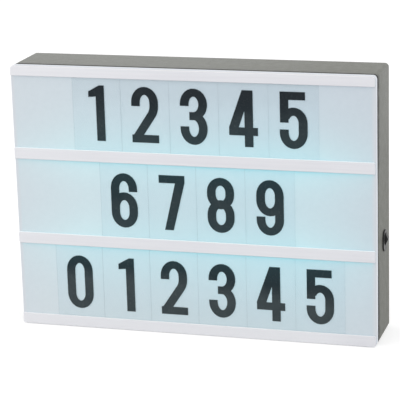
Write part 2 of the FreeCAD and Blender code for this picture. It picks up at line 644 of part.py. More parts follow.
def make_leds(z):
    """The LEDs of one board, each with its raised window."""
    y1 = TRAY_FLOOR_Y - BOARD_THICKNESS
    y0 = y1 - LED_THICKNESS
    leds = []
    for i in range(LED_COUNT):
        x = (i - (LED_COUNT - 1) / 2) * LED_PITCH
        wide = LED_LENGTH / 2
        high = LED_WIDTH / 2
        package = block(x - wide, x + wide, y0, y1, z - high, z + high)
        window = block(x - wide + LED_WINDOW_EDGE, x + wide - LED_WINDOW_EDGE, y0 - LED_WINDOW, y0,
                       z - high + LED_WINDOW_EDGE, z + high - LED_WINDOW_EDGE)
        leds.append(package.fuse(window))
    return leds


def make_resistors():
    """One resistor beside each group of LEDs on both boards."""
    y1 = TRAY_FLOOR_Y - BOARD_THICKNESS
    resistors = []
    for z in BOARD_Z:
        for i in range(RESISTOR_EVERY, LED_COUNT, RESISTOR_EVERY):
            x = (i - LED_COUNT / 2) * LED_PITCH
            resistors.append(block(x - RESISTOR_LENGTH / 2, x + RESISTOR_LENGTH / 2,
                                   y1 - RESISTOR_THICKNESS, y1,
                                   z - RESISTOR_WIDTH / 2, z + RESISTOR_WIDTH / 2))
    return resistors


# ---------------------------------------------------------------- screws
def make_housing_screws():
    """Six long screws, heads deep in their wells, points in the panel's bosses."""
    screws = []
    for x, z in SCREW_PLACES:
        shank = rod(x, z, SCREW_RADIUS, POST_FRONT - SCREW_BITE, SEAT_Y)
        head = rod(x, z, SCREW_HEAD_RADIUS, SEAT_Y, SEAT_Y + SCREW_HEAD)
        screws.append(shank.fuse(head))
    return screws


def make_tray_screws():
    """Four short screws that hold the tray on its posts."""
    screws = []
    for x, z in TRAY_POSTS:
        shank = rod(x, z, TRAY_SCREW_PILOT, TRAY_FLOOR_Y, TRAY_BACK + TRAY_SCREW_LENGTH - BOSS_BLIND)
        head = rod(x, z, TRAY_SCREW_HEAD_RADIUS, TRAY_FLOOR_Y - TRAY_SCREW_HEAD, TRAY_FLOOR_Y)
        screws.append(shank.fuse(head))
    return screws


# ---------------------------------------------------------------- switch
def switch_block(x0, x1, width, height, z_middle, radius):
    """A block behind or on the right wall, centred on the switch, with rounded corners."""
    return rounded_block(x0, x1, SWITCH_Y - width / 2, SWITCH_Y + width / 2,
                         z_middle - height / 2, z_middle + height / 2, radius, Vector(1, 0, 0))


def make_switch_bezel():
    """The flange on the wall and the sleeve through it, with the slot for the stem."""
    flange = switch_block(HALF_WIDTH, HALF_WIDTH + BEZEL_THICKNESS, BEZEL_WIDTH, BEZEL_HEIGHT,
                          SWITCH_Z, BEZEL_CORNER)
    sleeve = switch_block(SLEEVE_END, HALF_WIDTH, SLEEVE_WIDTH, SLEEVE_HEIGHT, SWITCH_Z, SLEEVE_CORNER)
    slot = switch_block(SLEEVE_END, HALF_WIDTH + BEZEL_THICKNESS, STEM_WIDTH + 2 * STEM_FIT,
                        STEM_HEIGHT + SLIDER_TRAVEL + 2 * STEM_FIT, SWITCH_Z, STEM_FIT)
    return flange.fuse(sleeve).cut(slot)


def make_switch_body():
    """The case behind the bezel, hollow for the slider."""
    case = switch_block(TERMINAL_X, SLEEVE_END, SLEEVE_WIDTH, SLEEVE_HEIGHT, SWITCH_Z, SLEEVE_CORNER)
    room = switch_block(TERMINAL_X + SWITCH_BODY_WALL, SLEEVE_END,
                        SLEEVE_WIDTH - 2 * SWITCH_BODY_WALL, SLEEVE_HEIGHT - 2 * SWITCH_BODY_WALL,
                        SWITCH_Z, SLEEVE_CORNER - SWITCH_BODY_WALL)
    return case.cut(room)


def make_switch_slider():
    """The tent-shaped knob with its stem and the block that slides in the case."""
    base = HALF_WIDTH + BEZEL_THICKNESS + KNOB_GAP
    top = HALF_WIDTH + KNOB_PROUD
    half = KNOB_HEIGHT / 2
    ridge = KNOB_RIDGE / 2
    outline = [(base, -half), (base + KNOB_BASE, -half), (top, -ridge), (top, ridge),
               (base + KNOB_BASE, half), (base, half)]
    ring = [Vector(x, SWITCH_Y - KNOB_WIDTH / 2, KNOB_Z + z) for x, z in outline]
    knob = Part.Face(Part.makePolygon(ring + ring[:1])).extrude(Vector(0, KNOB_WIDTH, 0))
    inner = SLEEVE_END - SLIDER_GAP
    stem = block(inner, base, SWITCH_Y - STEM_WIDTH / 2, SWITCH_Y + STEM_WIDTH / 2,
                 KNOB_Z - STEM_HEIGHT / 2, KNOB_Z + STEM_HEIGHT / 2)
    slider = block(inner - SLIDER_DEPTH, inner, SWITCH_Y - SLIDER_WIDTH / 2, SWITCH_Y + SLIDER_WIDTH / 2,
                   KNOB_Z - SLIDER_HEIGHT / 2, KNOB_Z + SLIDER_HEIGHT / 2)
    return knob.fuse([stem, slider]).removeSplitter()


def terminal_z(i):
    """Height of one solder terminal, counted from the lowest."""
    return SWITCH_Z + (i - (TERMINAL_COUNT - 1) / 2) * TERMINAL_PITCH


def make_switch_terminals():
    """Flat solder terminals in a column on the back of the switch."""
    return [block(TERMINAL_X - TERMINAL_LENGTH, TERMINAL_X,
                  SWITCH_Y - TERMINAL_WIDTH / 2, SWITCH_Y + TERMINAL_WIDTH / 2,
                  terminal_z(i) - TERMINAL_THICKNESS / 2, terminal_z(i) + TERMINAL_THICKNESS / 2)
            for i in range(TERMINAL_COUNT)]


# ---------------------------------------------------------------- wires
def make_link_wires():
    """The flat two-core wire from the lower board to the upper one, bent round behind the tray."""
    lower, upper = BOARD_Z
    half = LINK_THICKNESS / 2
    behind = TRAY_BACK + WIRE_LAYER
    loops = []
    for grow in (half, -half):
        loops.append(rounded_block(LINK_X - LINK_WIDTH / 2, LINK_X + LINK_WIDTH / 2,
                                   TRAY_FLOOR_Y - LINK_BEND - half - grow, behind + grow,
                                   lower - grow, upper + grow, LINK_BEND + grow, Vector(1, 0, 0)))
    loop = loops[0].cut(loops[1])
    open_side = block(LINK_X - LINK_WIDTH, LINK_X + LINK_WIDTH, TRAY_FLOOR_Y, behind + half,
                      lower - half, upper + half)
    return loop.common(open_side)


def make_led_wire():
    """From the middle terminal of the switch to the lower board."""
    z = terminal_z(1)
    tip = TERMINAL_X - TERMINAL_LENGTH
    lead = (tip - LED_WIRE_X) / 2
    route = [Vector(tip, SWITCH_Y, z), Vector(tip - lead, SWITCH_Y, z),
             Vector(LED_WIRE_X, SWITCH_Y + WIRE_SWAY, BOARD_Z[0]),
             Vector(LED_WIRE_X, TRAY_FLOOR_Y, BOARD_Z[0])]
    return tube(route, WIRE_RADIUS)


def between(start, end, share, y, z):
    """A point a share of the way along X from start to end."""
    return Vector(start + share * (end - start), y, z)


def make_plus_wire():
    """From the right solder tail of the bay to the upper terminal of the switch."""
    x = CELL_X[-1]
    z = terminal_z(2)
    tail = BAY_TOP + PLATE_TAIL
    tip = TERMINAL_X - TERMINAL_LENGTH
    route = [
        Vector(x, CELL_Y, tail),
        Vector(x, CELL_Y, tail + PLUS_RISE),
        between(x, tip, PLUS_BENDS[0], CELL_Y - WIRE_SWAY, tail),
        between(x, tip, PLUS_BENDS[1], SWITCH_Y + WIRE_SWAY, (tail + z) / 2),
        between(x, tip, PLUS_BENDS[2], SWITCH_Y, z),
        Vector(tip, SWITCH_Y, z),
    ]
    return tube(route, WIRE_RADIUS)


def make_minus_wire():
    """From the left solder tail of the bay to the upper board."""
    x = CELL_X[0]
    z = BOARD_Z[1]
    tail = BAY_TOP + PLATE_TAIL
    layer = TRAY_BACK + 2 * WIRE_LAYER
    route = [
        Vector(x, CELL_Y, tail),
        Vector(x, CELL_Y, tail + MINUS_RISE),
        between(x, RETURN_X, MINUS_BEND, layer, tail + MINUS_RISE),
        Vector(RETURN_X, layer, z),
        Vector(RETURN_X, TRAY_FLOOR_Y, z),
    ]
    return tube(route, WIRE_RADIUS)


# ---------------------------------------------------------------- write every node
def main():
    """Build the light box and write one file for each node."""
    os.makedirs("parts", exist_ok=True)
    nodes = {"front_panel": [make_front_panel()]}
    nodes.update({name: [shape] for name, shape in make_rails().items()})
    nodes.update({name: [shape] for name, shape in make_tiles().items()})
    nodes["rear_housing"] = [make_rear_housing()]
    nodes["battery_door"] = [make_battery_door()]
    nodes.update({name: [shape] for name, shape in make_cells().items()})
    nodes["contact_plates"] = make_contact_plates()
    nodes["contact_springs"] = make_contact_springs()
    nodes["reflector_tray"] = [make_reflector_tray()]
    for name, z in zip(("lower", "upper"), BOARD_Z):
        nodes[name + "_led_board"] = [make_led_board(z)]
        nodes[name + "_leds"] = make_leds(z)
    nodes["led_resistors"] = make_resistors()
    nodes["housing_screws"] = make_housing_screws()
    nodes["tray_screws"] = make_tray_screws()
    nodes["switch_bezel"] = [make_switch_bezel()]
    nodes["switch_body"] = [make_switch_body()]
    nodes["switch_slider"] = [make_switch_slider()]
    nodes["switch_terminals"] = make_switch_terminals()
    nodes["board_link_wires"] = [make_link_wires()]
    nodes["switch_to_led_wire"] = [make_led_wire()]
    nodes["battery_plus_wire"] = [make_plus_wire()]
    nodes["battery_minus_wire"] = [make_minus_wire()]
    for name, shapes in nodes.items():
        save(name, shapes)
    print("box height %.2f, %d nodes" % (BOX_HEIGHT, len(nodes)))


main()
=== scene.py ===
# %% [markdown]
# # A cinema light box, finished in Blender
#
# The light box comes in as a finished construction: every rail, tile, screw and cell is already in place
# and at its real size. This lesson gives it its looks. We paint each surface with a node material, draw
# the numerals that are printed on the tiles, turn a few small parts that deserve more shape than the
# construction gives them, and set up a plain studio.
#
# The first cell loads the construction. `cad_box` is kept now, before anything is added, so that we can
# compare it with the finished model at the end.

# %% Load the construction
import math

import bmesh
import bpy
from mathutils import Matrix, Vector
from mathutils.geometry import delaunay_2d_cdt


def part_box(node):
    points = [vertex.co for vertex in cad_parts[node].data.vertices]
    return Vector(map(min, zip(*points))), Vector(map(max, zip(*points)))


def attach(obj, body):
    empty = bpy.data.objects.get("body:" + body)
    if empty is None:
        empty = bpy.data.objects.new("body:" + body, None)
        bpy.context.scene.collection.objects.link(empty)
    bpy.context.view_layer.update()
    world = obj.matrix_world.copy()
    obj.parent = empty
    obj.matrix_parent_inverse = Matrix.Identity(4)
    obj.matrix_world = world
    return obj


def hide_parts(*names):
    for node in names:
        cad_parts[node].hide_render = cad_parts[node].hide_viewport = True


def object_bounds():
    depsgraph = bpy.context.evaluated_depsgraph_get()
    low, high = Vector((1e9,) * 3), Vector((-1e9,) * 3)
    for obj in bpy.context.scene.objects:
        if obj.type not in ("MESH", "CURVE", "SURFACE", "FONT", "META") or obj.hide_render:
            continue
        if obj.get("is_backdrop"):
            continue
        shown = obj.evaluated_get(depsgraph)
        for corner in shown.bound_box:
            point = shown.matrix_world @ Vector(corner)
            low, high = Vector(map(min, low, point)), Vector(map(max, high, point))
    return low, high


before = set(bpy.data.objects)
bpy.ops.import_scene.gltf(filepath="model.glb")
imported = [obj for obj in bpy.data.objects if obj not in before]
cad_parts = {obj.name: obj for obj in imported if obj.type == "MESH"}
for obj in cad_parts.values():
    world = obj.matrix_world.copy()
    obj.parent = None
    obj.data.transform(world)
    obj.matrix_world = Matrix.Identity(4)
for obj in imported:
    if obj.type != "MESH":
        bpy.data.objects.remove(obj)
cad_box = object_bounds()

MM = 0.001
scene = bpy.context.scene

# %% [markdown]
# ## Reading sizes from the construction
#
# Later cells need to know where the box, its panel and its tiles are. We could type those numbers again,
# but then they could drift apart. Reading them from the loaded nodes keeps one truth. The panel's front
# face looks towards -Y, so its lowest Y is the face that shines.

# %% Reading sizes from the construction
panel_low, panel_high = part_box("front_panel")
housing_low, housing_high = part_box("rear_housing")
BOX_WIDTH = panel_high.x - panel_low.x
BOX_HEIGHT = panel_high.z - panel_low.z
PANEL_FRONT = panel_low.y
print("box %.1f x %.1f mm, panel front at y = %.2f mm" % (BOX_WIDTH / MM, BOX_HEIGHT / MM, PANEL_FRONT / MM))

# %% [markdown]
# ## The camera
#
# A product camera stands well back and uses a long lens, so that the box keeps its square shape. We give
# it a place, a direction to look in and a small roll, because hand-held pictures are never quite level.
# `to_track_quat` would be enough for a level camera; here we build the three axes ourselves, so that the
# roll is exact.

# %% The camera
CAMERA_PLACE = Vector((421.083, -1407.904, 511.932)) * MM
CAMERA_AZIMUTH = 16.692        # degrees round to the right of the front
CAMERA_ELEVATION = 15.424      # degrees above level
CAMERA_ROLL = -1.658
CAMERA_LENS = 168.37           # mm, on a sensor 36 mm wide


def camera_turn():
    """The camera's rotation from its azimuth, elevation and roll."""
    upright = Matrix.Rotation(math.radians(90.0), 3, "X")
    tilt = Matrix.Rotation(math.radians(-CAMERA_ELEVATION), 3, "X")
    swing = Matrix.Rotation(math.radians(CAMERA_AZIMUTH), 3, "Z")
    roll = Matrix.Rotation(math.radians(CAMERA_ROLL), 3, "Z")
    return swing @ tilt @ upright @ roll


camera_data = bpy.data.cameras.new("camera")
camera_data.lens = CAMERA_LENS
camera_data.sensor_width = 36.0
camera = bpy.data.objects.new("camera", camera_data)
camera.matrix_world = Matrix.Translation(CAMERA_PLACE) @ camera_turn().to_4x4()
scene.collection.objects.link(camera)
scene.camera = camera
scene.view_settings.view_transform = "Standard"
print("camera looks along", [round(value, 4) for value in camera_turn() @ Vector((0, 0, -1))])

# %% [markdown]
# ## Small helpers for node materials
#
# Every material below is a handful of nodes. `add` puts a node in the tree and sets its inputs by name;
# an input may be a number, a colour or another node's output. The other helpers name the few steps that
# come back again and again: arithmetic, a mix of two colours, noise, and one range of values stretched
# over another. Writing materials this way keeps each one short enough to read as a recipe.

# %% Small helpers for node materials
def add(tree, kind, **settings):
    """Add one node. Settings are node properties; the 'inputs' dictionary fills its sockets."""
    inputs = settings.pop("inputs", {})
    node = tree.nodes.new(kind)
    for name, value in settings.items():
        setattr(node, name, value)
    for name, value in inputs.items():
        socket = node.inputs[name]
        if isinstance(value, bpy.types.NodeSocket):
            tree.links.new(value, socket)
        else:
            socket.default_value = value
    return node


def math_node(tree, operation, first, second=0.0, third=0.0):
    """One step of arithmetic on sockets or numbers."""
    node = add(tree, "ShaderNodeMath", operation=operation, inputs={0: first, 1: second, 2: third})
    return node.outputs[0]


def product(tree, first, *others):
    """Sockets or numbers, all multiplied."""
    for other in others:
        first = math_node(tree, "MULTIPLY", first, other)
    return first


def parts(tree, vector):
    """The X, Y and Z of a vector."""
    return add(tree, "ShaderNodeSeparateXYZ", inputs={0: vector}).outputs


def mix_colours(tree, factor, first, second):
    """Fade from the first colour to the second."""
    node = add(tree, "ShaderNodeMix", data_type="RGBA", inputs={0: factor, 6: first, 7: second})
    return node.outputs[2]


def noise(tree, place, scale, detail=2.0, roughness=0.5):
    """Soft random values round 0.5, fixed to the object."""
    node = add(tree, "ShaderNodeTexNoise", inputs={
        "Vector": place, "Scale": scale, "Detail": detail, "Roughness": roughness})
    return node.outputs["Fac"]


def spread(tree, value, low, high, new_low, new_high):
    """Stretch one range of values over another."""
    node = add(tree, "ShaderNodeMapRange", inputs={
        "Value": value, "From Min": low, "From Max": high, "To Min": new_low, "To Max": new_high})
    return node.outputs[0]


# %% [markdown]
# ## Places and finishes
#
# A finish often depends on where on the box a point is: dirt keeps to the corners, light to the bands. So
# heights and widths are written as shares of the box, and `over_height` and `over_width` run from one
# value to another between two such places. It may also depend on which way the surface looks, which is
# what `surface_normal` tells. Places are read in the object's own frame, so a finish moves with its piece.

# %% Places and finishes
def over_height(tree, z, low, high, new_low, new_high):
    """Values between two heights on the box, given as shares of its own height."""
    return spread(tree, z, low * BOX_HEIGHT, high * BOX_HEIGHT, new_low, new_high)


def over_width(tree, x, left, right, new_left, new_right):
    """Values between two places across the box, given as shares of its width from the middle."""
    return spread(tree, x, left * BOX_WIDTH, right * BOX_WIDTH, new_left, new_right)


def surface_normal(tree):
    """The X, Y and Z of the way a surface faces."""
    return parts(tree, add(tree, "ShaderNodeNewGeometry").outputs["Normal"])


def new_finish(name):
    """A fresh node material with its tree, its Principled shader and the object's own coordinates."""
    material = bpy.data.materials.new(name)
    material.use_nodes = True
    tree = material.node_tree
    shader = tree.nodes["Principled BSDF"]
    place = add(tree, "ShaderNodeTexCoord").outputs["Object"]
    return material, tree, shader, place


def paint(material, *node_names):
    """Give one or more construction nodes their finish."""
    for node_name in node_names:
        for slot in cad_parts[node_name].material_slots:
            slot.link = "OBJECT"
            slot.material = material
    print(material.name, "on", ", ".join(node_names))


def gray(value, alpha=1.0):
    """A neutral colour."""
    return (value, value, value, alpha)


# %% [markdown]
# ## Relief
#
# Moulded plastic is never perfectly smooth. A Bump node turns a grey value into tiny slopes. Its
# distance is a real height in metres, so a spark-eroded surface of twenty microns is written as 0.00002.
# The Bevel node goes in front of it: it rounds the way light meets a sharp edge, which is what tells the
# eye that an edge has been moulded and not cut from card.

# %% Relief
def relief(tree, shader, height, depth, edge=0.3 * MM):
    """Bump the surface by a height socket, over edges that catch the light as if slightly rounded."""
    soft_edge = add(tree, "ShaderNodeBevel", samples=4, inputs={"Radius": edge})
    bump = add(tree, "ShaderNodeBump", inputs={
        "Strength": 1.0, "Distance": depth, "Height": height, "Normal": soft_edge.outputs["Normal"]})
    tree.links.new(bump.outputs["Normal"], shader.inputs["Normal"])


def worn_edges(tree, radius):
    """One on sharp edges and zero on flat faces: where the rounded normal leaves the true one."""
    rounded = add(tree, "ShaderNodeBevel", samples=4, inputs={"Radius": radius}).outputs["Normal"]
    true = add(tree, "ShaderNodeNewGeometry").outputs["Normal"]
    match = add(tree, "ShaderNodeVectorMath", operation="DOT_PRODUCT", inputs={0: rounded, 1: true})
    return spread(tree, match.outputs["Value"], 0.995, 0.93, 0.0, 1.0)


# %% [markdown]
# ## Grey housing plastic
#
# The rear housing and its battery door are warm grey ABS with a fine, even texture that kills the gloss.
# A flat colour would look like paint, so three layers of noise work together: a broad one that shifts the
# shade by a few percent, a middle one for the faint flow marks of moulding, and a very fine one for the
# eroded grain, whose pits are painted darker: partly the grain's own speckle, partly painted shade.
# Corners are rubbed a little lighter, as they are on anything that is picked up often, and the lower
# half carries a painted shade that darkens it towards the foot.
#
# The housing's lip can be seen at the bottom of the open joint behind the panel. Everything in front of
# the rim is painted much darker, as painted shade in the groove, a little less dark on faces that look
# up. Near the upper and lower corners a painted shadow spreads out of the joint, a few millimetres along
# the walls, while at mid-height the groove's painted shade is weak. The upper walls, away from the
# joint, carry a painted highlight, and the top has a painted shade that darkens it towards the right.

# %% Grey housing plastic
HOUSING_GREY = (0.199, 0.203, 0.185, 1.0)
HOUSING_PALE = (0.224, 0.228, 0.209, 1.0)
# dark specks of the grain: partly its own speckle, partly painted shade in its pits
HOUSING_PIT_SPECKLE_AND_SHADE = (0.110, 0.112, 0.100, 1.0)
# paler: rubbed corners, and a painted highlight on the upper walls
HOUSING_RUBBED_AND_LIT = (0.32, 0.325, 0.305, 1.0)
# painted shade: towards the foot, and on the right of the top
HOUSING_PAINTED_SHADE = (0.150, 0.153, 0.130, 1.0)
# painted shade in the groove in front of the rim, and its lighter copy on faces that look up
GROOVE_PAINTED_SHADE = (0.020, 0.021, 0.020, 1.0)
GROOVE_SHADE_FACING_UP = (0.075, 0.076, 0.074, 1.0)
# painted shadow spreading out of the joint near the upper and lower corners
SEAM_PAINTED_SHADOW = (0.034, 0.036, 0.033, 1.0)
SEAM_SHADOW_REACH = 6.5 * MM          # how far the painted seam shadow reaches back along the walls
FOOT_SHIFT = 1.0 * MM          # how much further it reaches near the foot
UPPER_SEAM_SHADOW = (0.58, 0.70)     # shares of the height between which the painted seam shadow sets in, going up
LOWER_SEAM_SHADOW = (0.20, 0.36)     # and between which the lower painted seam shadow fades out
LIP_REACH = 4.0 * MM           # the lip stands this far in front of the rim
RIM = housing_low.y + LIP_REACH


def grey_plastic():
    """Warm grey ABS with a fine eroded grain."""
    material, tree, shader, place = new_finish("grey_housing")
    broad = noise(tree, place, 9.0, 2.0)
    flow = noise(tree, place, 160.0, 3.0)
    grain = noise(tree, place, 2400.0, 3.0, 0.6)
    shade = math_node(tree, "MULTIPLY_ADD", flow, 0.35, product(tree, broad, 0.65))
    colour = mix_colours(tree, spread(tree, shade, 0.3, 0.7, 0.0, 1.0), HOUSING_GREY, HOUSING_PALE)
    rubbed = product(tree, worn_edges(tree, 0.5 * MM), spread(tree, flow, 0.4, 0.7, 0.05, 0.5))
    colour = mix_colours(tree, rubbed, colour, HOUSING_RUBBED_AND_LIT)
    axes = parts(tree, place)
    # painted shade: darker towards the foot
    colour = mix_colours(tree, over_height(tree, axes["Z"], 0.40, 0.95, 1.0, 0.0), colour, HOUSING_PAINTED_SHADE)
    upward = spread(tree, surface_normal(tree)["Z"], 0.3, 0.9, 0.0, 0.8)
    on_walls = math_node(tree, "SUBTRACT", 1.0, upward)
    # painted shade on faces that look up, darker towards the right
    top_right_shade = product(tree, upward, over_width(tree, axes["X"], 0.0, 0.4, 0.0, 1.0))
    colour = mix_colours(tree, top_right_shade, colour, HOUSING_PAINTED_SHADE)
    # painted highlight on the upper part of the walls, away from the joint
    to_back = spread(tree, axes["Y"], RIM + SEAM_SHADOW_REACH, 0.5 * housing_high.y, 0.0, 1.0)
    upper_wall_light = product(tree, over_height(tree, axes["Z"], 0.68, 0.85, 0.0, 0.4), to_back, on_walls)
    colour = mix_colours(tree, upper_wall_light, colour, HOUSING_RUBBED_AND_LIT)
    # dark specks where the grain is low: its own speckle and painted shade in its pits
    colour = mix_colours(tree, spread(tree, grain, 0.38, 0.58, 0.55, 0.0), colour, HOUSING_PIT_SPECKLE_AND_SHADE)
    # painted shadow out of the joint, near the upper and lower corners, weakest at mid-height
    upper = over_height(tree, axes["Z"], *UPPER_SEAM_SHADOW, 0.05, 1.0)
    lower = over_height(tree, axes["Z"], *LOWER_SEAM_SHADOW, 1.0, 0.05)
    seam_shadow_mask = math_node(tree, "MAXIMUM", upper, lower)
    behind = math_node(tree, "SUBTRACT", axes["Y"], product(tree, lower, FOOT_SHIFT))
    shadow_reach = spread(tree, behind, RIM + 0.3 * SEAM_SHADOW_REACH, RIM + SEAM_SHADOW_REACH, 1.0, 0.0)
    seam_shadow = product(tree, shadow_reach, seam_shadow_mask, on_walls, spread(tree, flow, 0.3, 0.6, 0.7, 1.0))
    colour = mix_colours(tree, seam_shadow, colour, SEAM_PAINTED_SHADOW)
    # painted shade in the groove in front of the rim, lighter on faces that look up
    groove = spread(tree, axes["Y"], RIM, RIM + 0.3 * MM, 1.0, 0.0)
    groove = product(tree, groove, spread(tree, seam_shadow_mask, 0.05, 1.0, 0.2, 1.0))
    colour = mix_colours(tree, groove, colour, mix_colours(tree, upward, GROOVE_PAINTED_SHADE, GROOVE_SHADE_FACING_UP))
    tree.links.new(colour, shader.inputs["Base Color"])
    tree.links.new(spread(tree, flow, 0.3, 0.7, 0.50, 0.62), shader.inputs["Roughness"])
    relief(tree, shader, grain, 0.06 * MM, 0.4 * MM)
    return material


paint(grey_plastic(), "rear_housing", "battery_door")

# %% [markdown]
# ## White rails
#
# The four rails are opaque white ABS with a satin skin. Next to the cool light of the panel they look
# slightly pink, so their white leans that way. Long rails are extruded or moulded along their length,
# and the faint lines that this leaves run along X: we squeeze the noise by scaling the coordinates, which
# stretches each speck into a streak. A painted light makes the bottom rail and the left end whiter.
# Faces that look up get their own painted light and shade: a duller painted shade on the top rail and on
# the upper edge of the bottom rail, and on the two middle rails, which lie along the bands of the
# panel's light, a painted light in its cool colour.

# %% White rails
RAIL_WHITE = (0.900, 0.902, 0.945, 1.0)
RAIL_SHADE = (0.838, 0.842, 0.889, 1.0)
# painted light: whiter on the bottom rail and towards the left end
RAIL_PAINTED_LIGHT = (0.940, 0.945, 0.980, 1.0)
RAIL_TOP_SHADE = (0.740, 0.740, 0.760, 1.0)      # painted shade on the upper face of the top rail
RAIL_LIT = (0.890, 0.975, 1.000, 1.0)      # painted light on the upper edges of the middle rails
RAIL_FOOT_EDGE_SHADE = (0.850, 0.860, 0.880, 1.0)     # painted shade on the upper edge of the bottom rail


def white_plastic():
    """Satin white ABS with faint lines along X."""
    material, tree, shader, place = new_finish("white_rail")
    stretched = add(tree, "ShaderNodeMapping", inputs={"Vector": place, "Scale": (0.02, 1.0, 1.0)})
    lines = noise(tree, stretched.outputs[0], 520.0, 4.0, 0.6)
    broad = noise(tree, place, 14.0, 2.0)
    grain = noise(tree, place, 1900.0, 2.0)
    shade = math_node(tree, "MULTIPLY_ADD", lines, 0.6, product(tree, broad, 0.4))
    colour = mix_colours(tree, spread(tree, shade, 0.35, 0.65, 0.0, 1.0), RAIL_SHADE, RAIL_WHITE)
    axes = parts(tree, place)
    # painted light on the bottom rail and towards the left end
    foot = over_height(tree, axes["Z"], 0.0, 0.6, 0.8, 0.0)
    foot = product(tree, foot, over_width(tree, axes["X"], 0.36, 0.46, 1.0, 0.0))
    left = over_width(tree, axes["X"], -0.5, 0.0, 0.5, 0.0)
    colour = mix_colours(tree, math_node(tree, "MAXIMUM", foot, left), colour, RAIL_PAINTED_LIGHT)
    # faces that look up: painted shade on the top and bottom rails, painted light on the middle ones
    glowing = over_height(tree, axes["Z"], 0.1, 0.3, 0.0, 1.0)
    topmost = over_height(tree, axes["Z"], 0.8, 0.9, 0.0, 1.0)
    edge = mix_colours(tree, topmost, mix_colours(tree, glowing, RAIL_FOOT_EDGE_SHADE, RAIL_LIT), RAIL_TOP_SHADE)
    upward = spread(tree, surface_normal(tree)["Z"], 0.2, 0.8, 0.0, 1.0)
    colour = mix_colours(tree, upward, colour, edge)
    tree.links.new(colour, shader.inputs["Base Color"])
    tree.links.new(spread(tree, lines, 0.3, 0.7, 0.30, 0.42), shader.inputs["Roughness"])
    height = math_node(tree, "MULTIPLY_ADD", lines, 0.6, product(tree, grain, 0.4))
    relief(tree, shader, height, 0.012 * MM, 0.35 * MM)
    return material


paint(white_plastic(), "top_rail", "upper_middle_rail", "lower_middle_rail", "bottom_rail")

# %% [markdown]
# ## Bands of light
#
# The front panel is opal plastic with two strips of LEDs behind it, one behind each middle rail. A strip
# of light some centimetres behind a diffuser makes a band that fades on both sides. The fall-off of a
# line of light is 1 / (1 + (distance / depth)^2), and that is what `hump` builds: the distance comes from
# the object's own Z coordinate, so the glow belongs to the box and not to the view. Where a strip is
# close, its single LEDs can just be told apart, and the cosine in `band_glow` stands for them. Below the
# lower strip the box ends in a pale shelf that throws light back up, so the band fades more slowly there.

# %% Bands of light
BOARDS = ("lower_led_board", "upper_led_board")
BAND_HEIGHTS = [sum(corner.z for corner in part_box(name)) / 2 for name in BOARDS]
BAND_DEPTH = 25.0 * MM         # how far the light spreads above and below a strip
FOOT_DEPTH = 38.0 * MM         # and how far below the lower one, towards the shelf
LED_PITCH = 21.4 * MM


def hump(tree, z, height, width):
    """One at a height, a half one width away, and fading out beyond."""
    away = math_node(tree, "DIVIDE", math_node(tree, "SUBTRACT", z, height), width)
    return math_node(tree, "DIVIDE", 1.0, math_node(tree, "MULTIPLY_ADD", away, away, 1.0))


def band_glow(tree, height, x, z, depth):
    """Light from one strip of LEDs, with a bead for each LED where the strip is close."""
    band = hump(tree, z, height, depth)
    beads = math_node(tree, "COSINE", product(tree, x, 2 * math.pi / LED_PITCH))
    close = math_node(tree, "POWER", band, 8.0)
    beads = math_node(tree, "MULTIPLY_ADD", product(tree, beads, close), 0.04, 1.0)
    return product(tree, band, beads)


def both_bands(tree, x, z):
    """The light of both strips together."""
    low, high = BAND_HEIGHTS
    depth = spread(tree, z, low - BAND_DEPTH, low, FOOT_DEPTH, BAND_DEPTH)
    lower_band = band_glow(tree, low, x, z, depth)
    upper_band = band_glow(tree, high, x, z, BAND_DEPTH)
    return math_node(tree, "ADD", lower_band, upper_band)


print("glow bands at z =", [round(height / MM, 1) for height in BAND_HEIGHTS], "mm")

# %% [markdown]
# ## The panel's own light
#
# Between the bands the light is nearly even, and in them it turns cyan. The strips end before the panel
# does, so both ends are weaker, and the left one is a little warmer. The foot keeps some of the light that
# comes back from the shelf. Under the two middle rails a thin line of purer cyan is painted in: a painted
# shadow of the rails' lips, which keep the room's light off the panel there. Each of these is one more
# colour mixed into the last, which is easy to read and easy to change.

# %% The panel's own light
BAND_EVEN = 90.0 * MM          # how far from the middle a strip's light stays even
BAND_TAPER = 146.0 * MM        # where, near the strip's end, it has fallen to BAND_REST
BAND_REST = 0.42
PANEL_EVEN = (0.200, 0.232, 0.275, 1.0)     # light between the bands
PANEL_CYAN = (0.205, 0.402, 0.440, 1.0)     # and in them
PANEL_EVEN_LEFT = (0.243, 0.276, 0.306, 1.0)
PANEL_CYAN_LEFT = (0.256, 0.396, 0.420, 1.0)
# painted shadow under the lips of the two middle rails
PANEL_SHADOW_LINE = (0.070, 0.385, 0.450, 1.0)
LINE_WIDTH = 2.2 * MM
LINE_HEIGHTS = [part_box(name)[0].z for name in ("lower_middle_rail", "upper_middle_rail")]
SHELF_LIGHT = (0.420, 0.440, 0.340, 1.0)    # what the pale shelf throws back on the foot


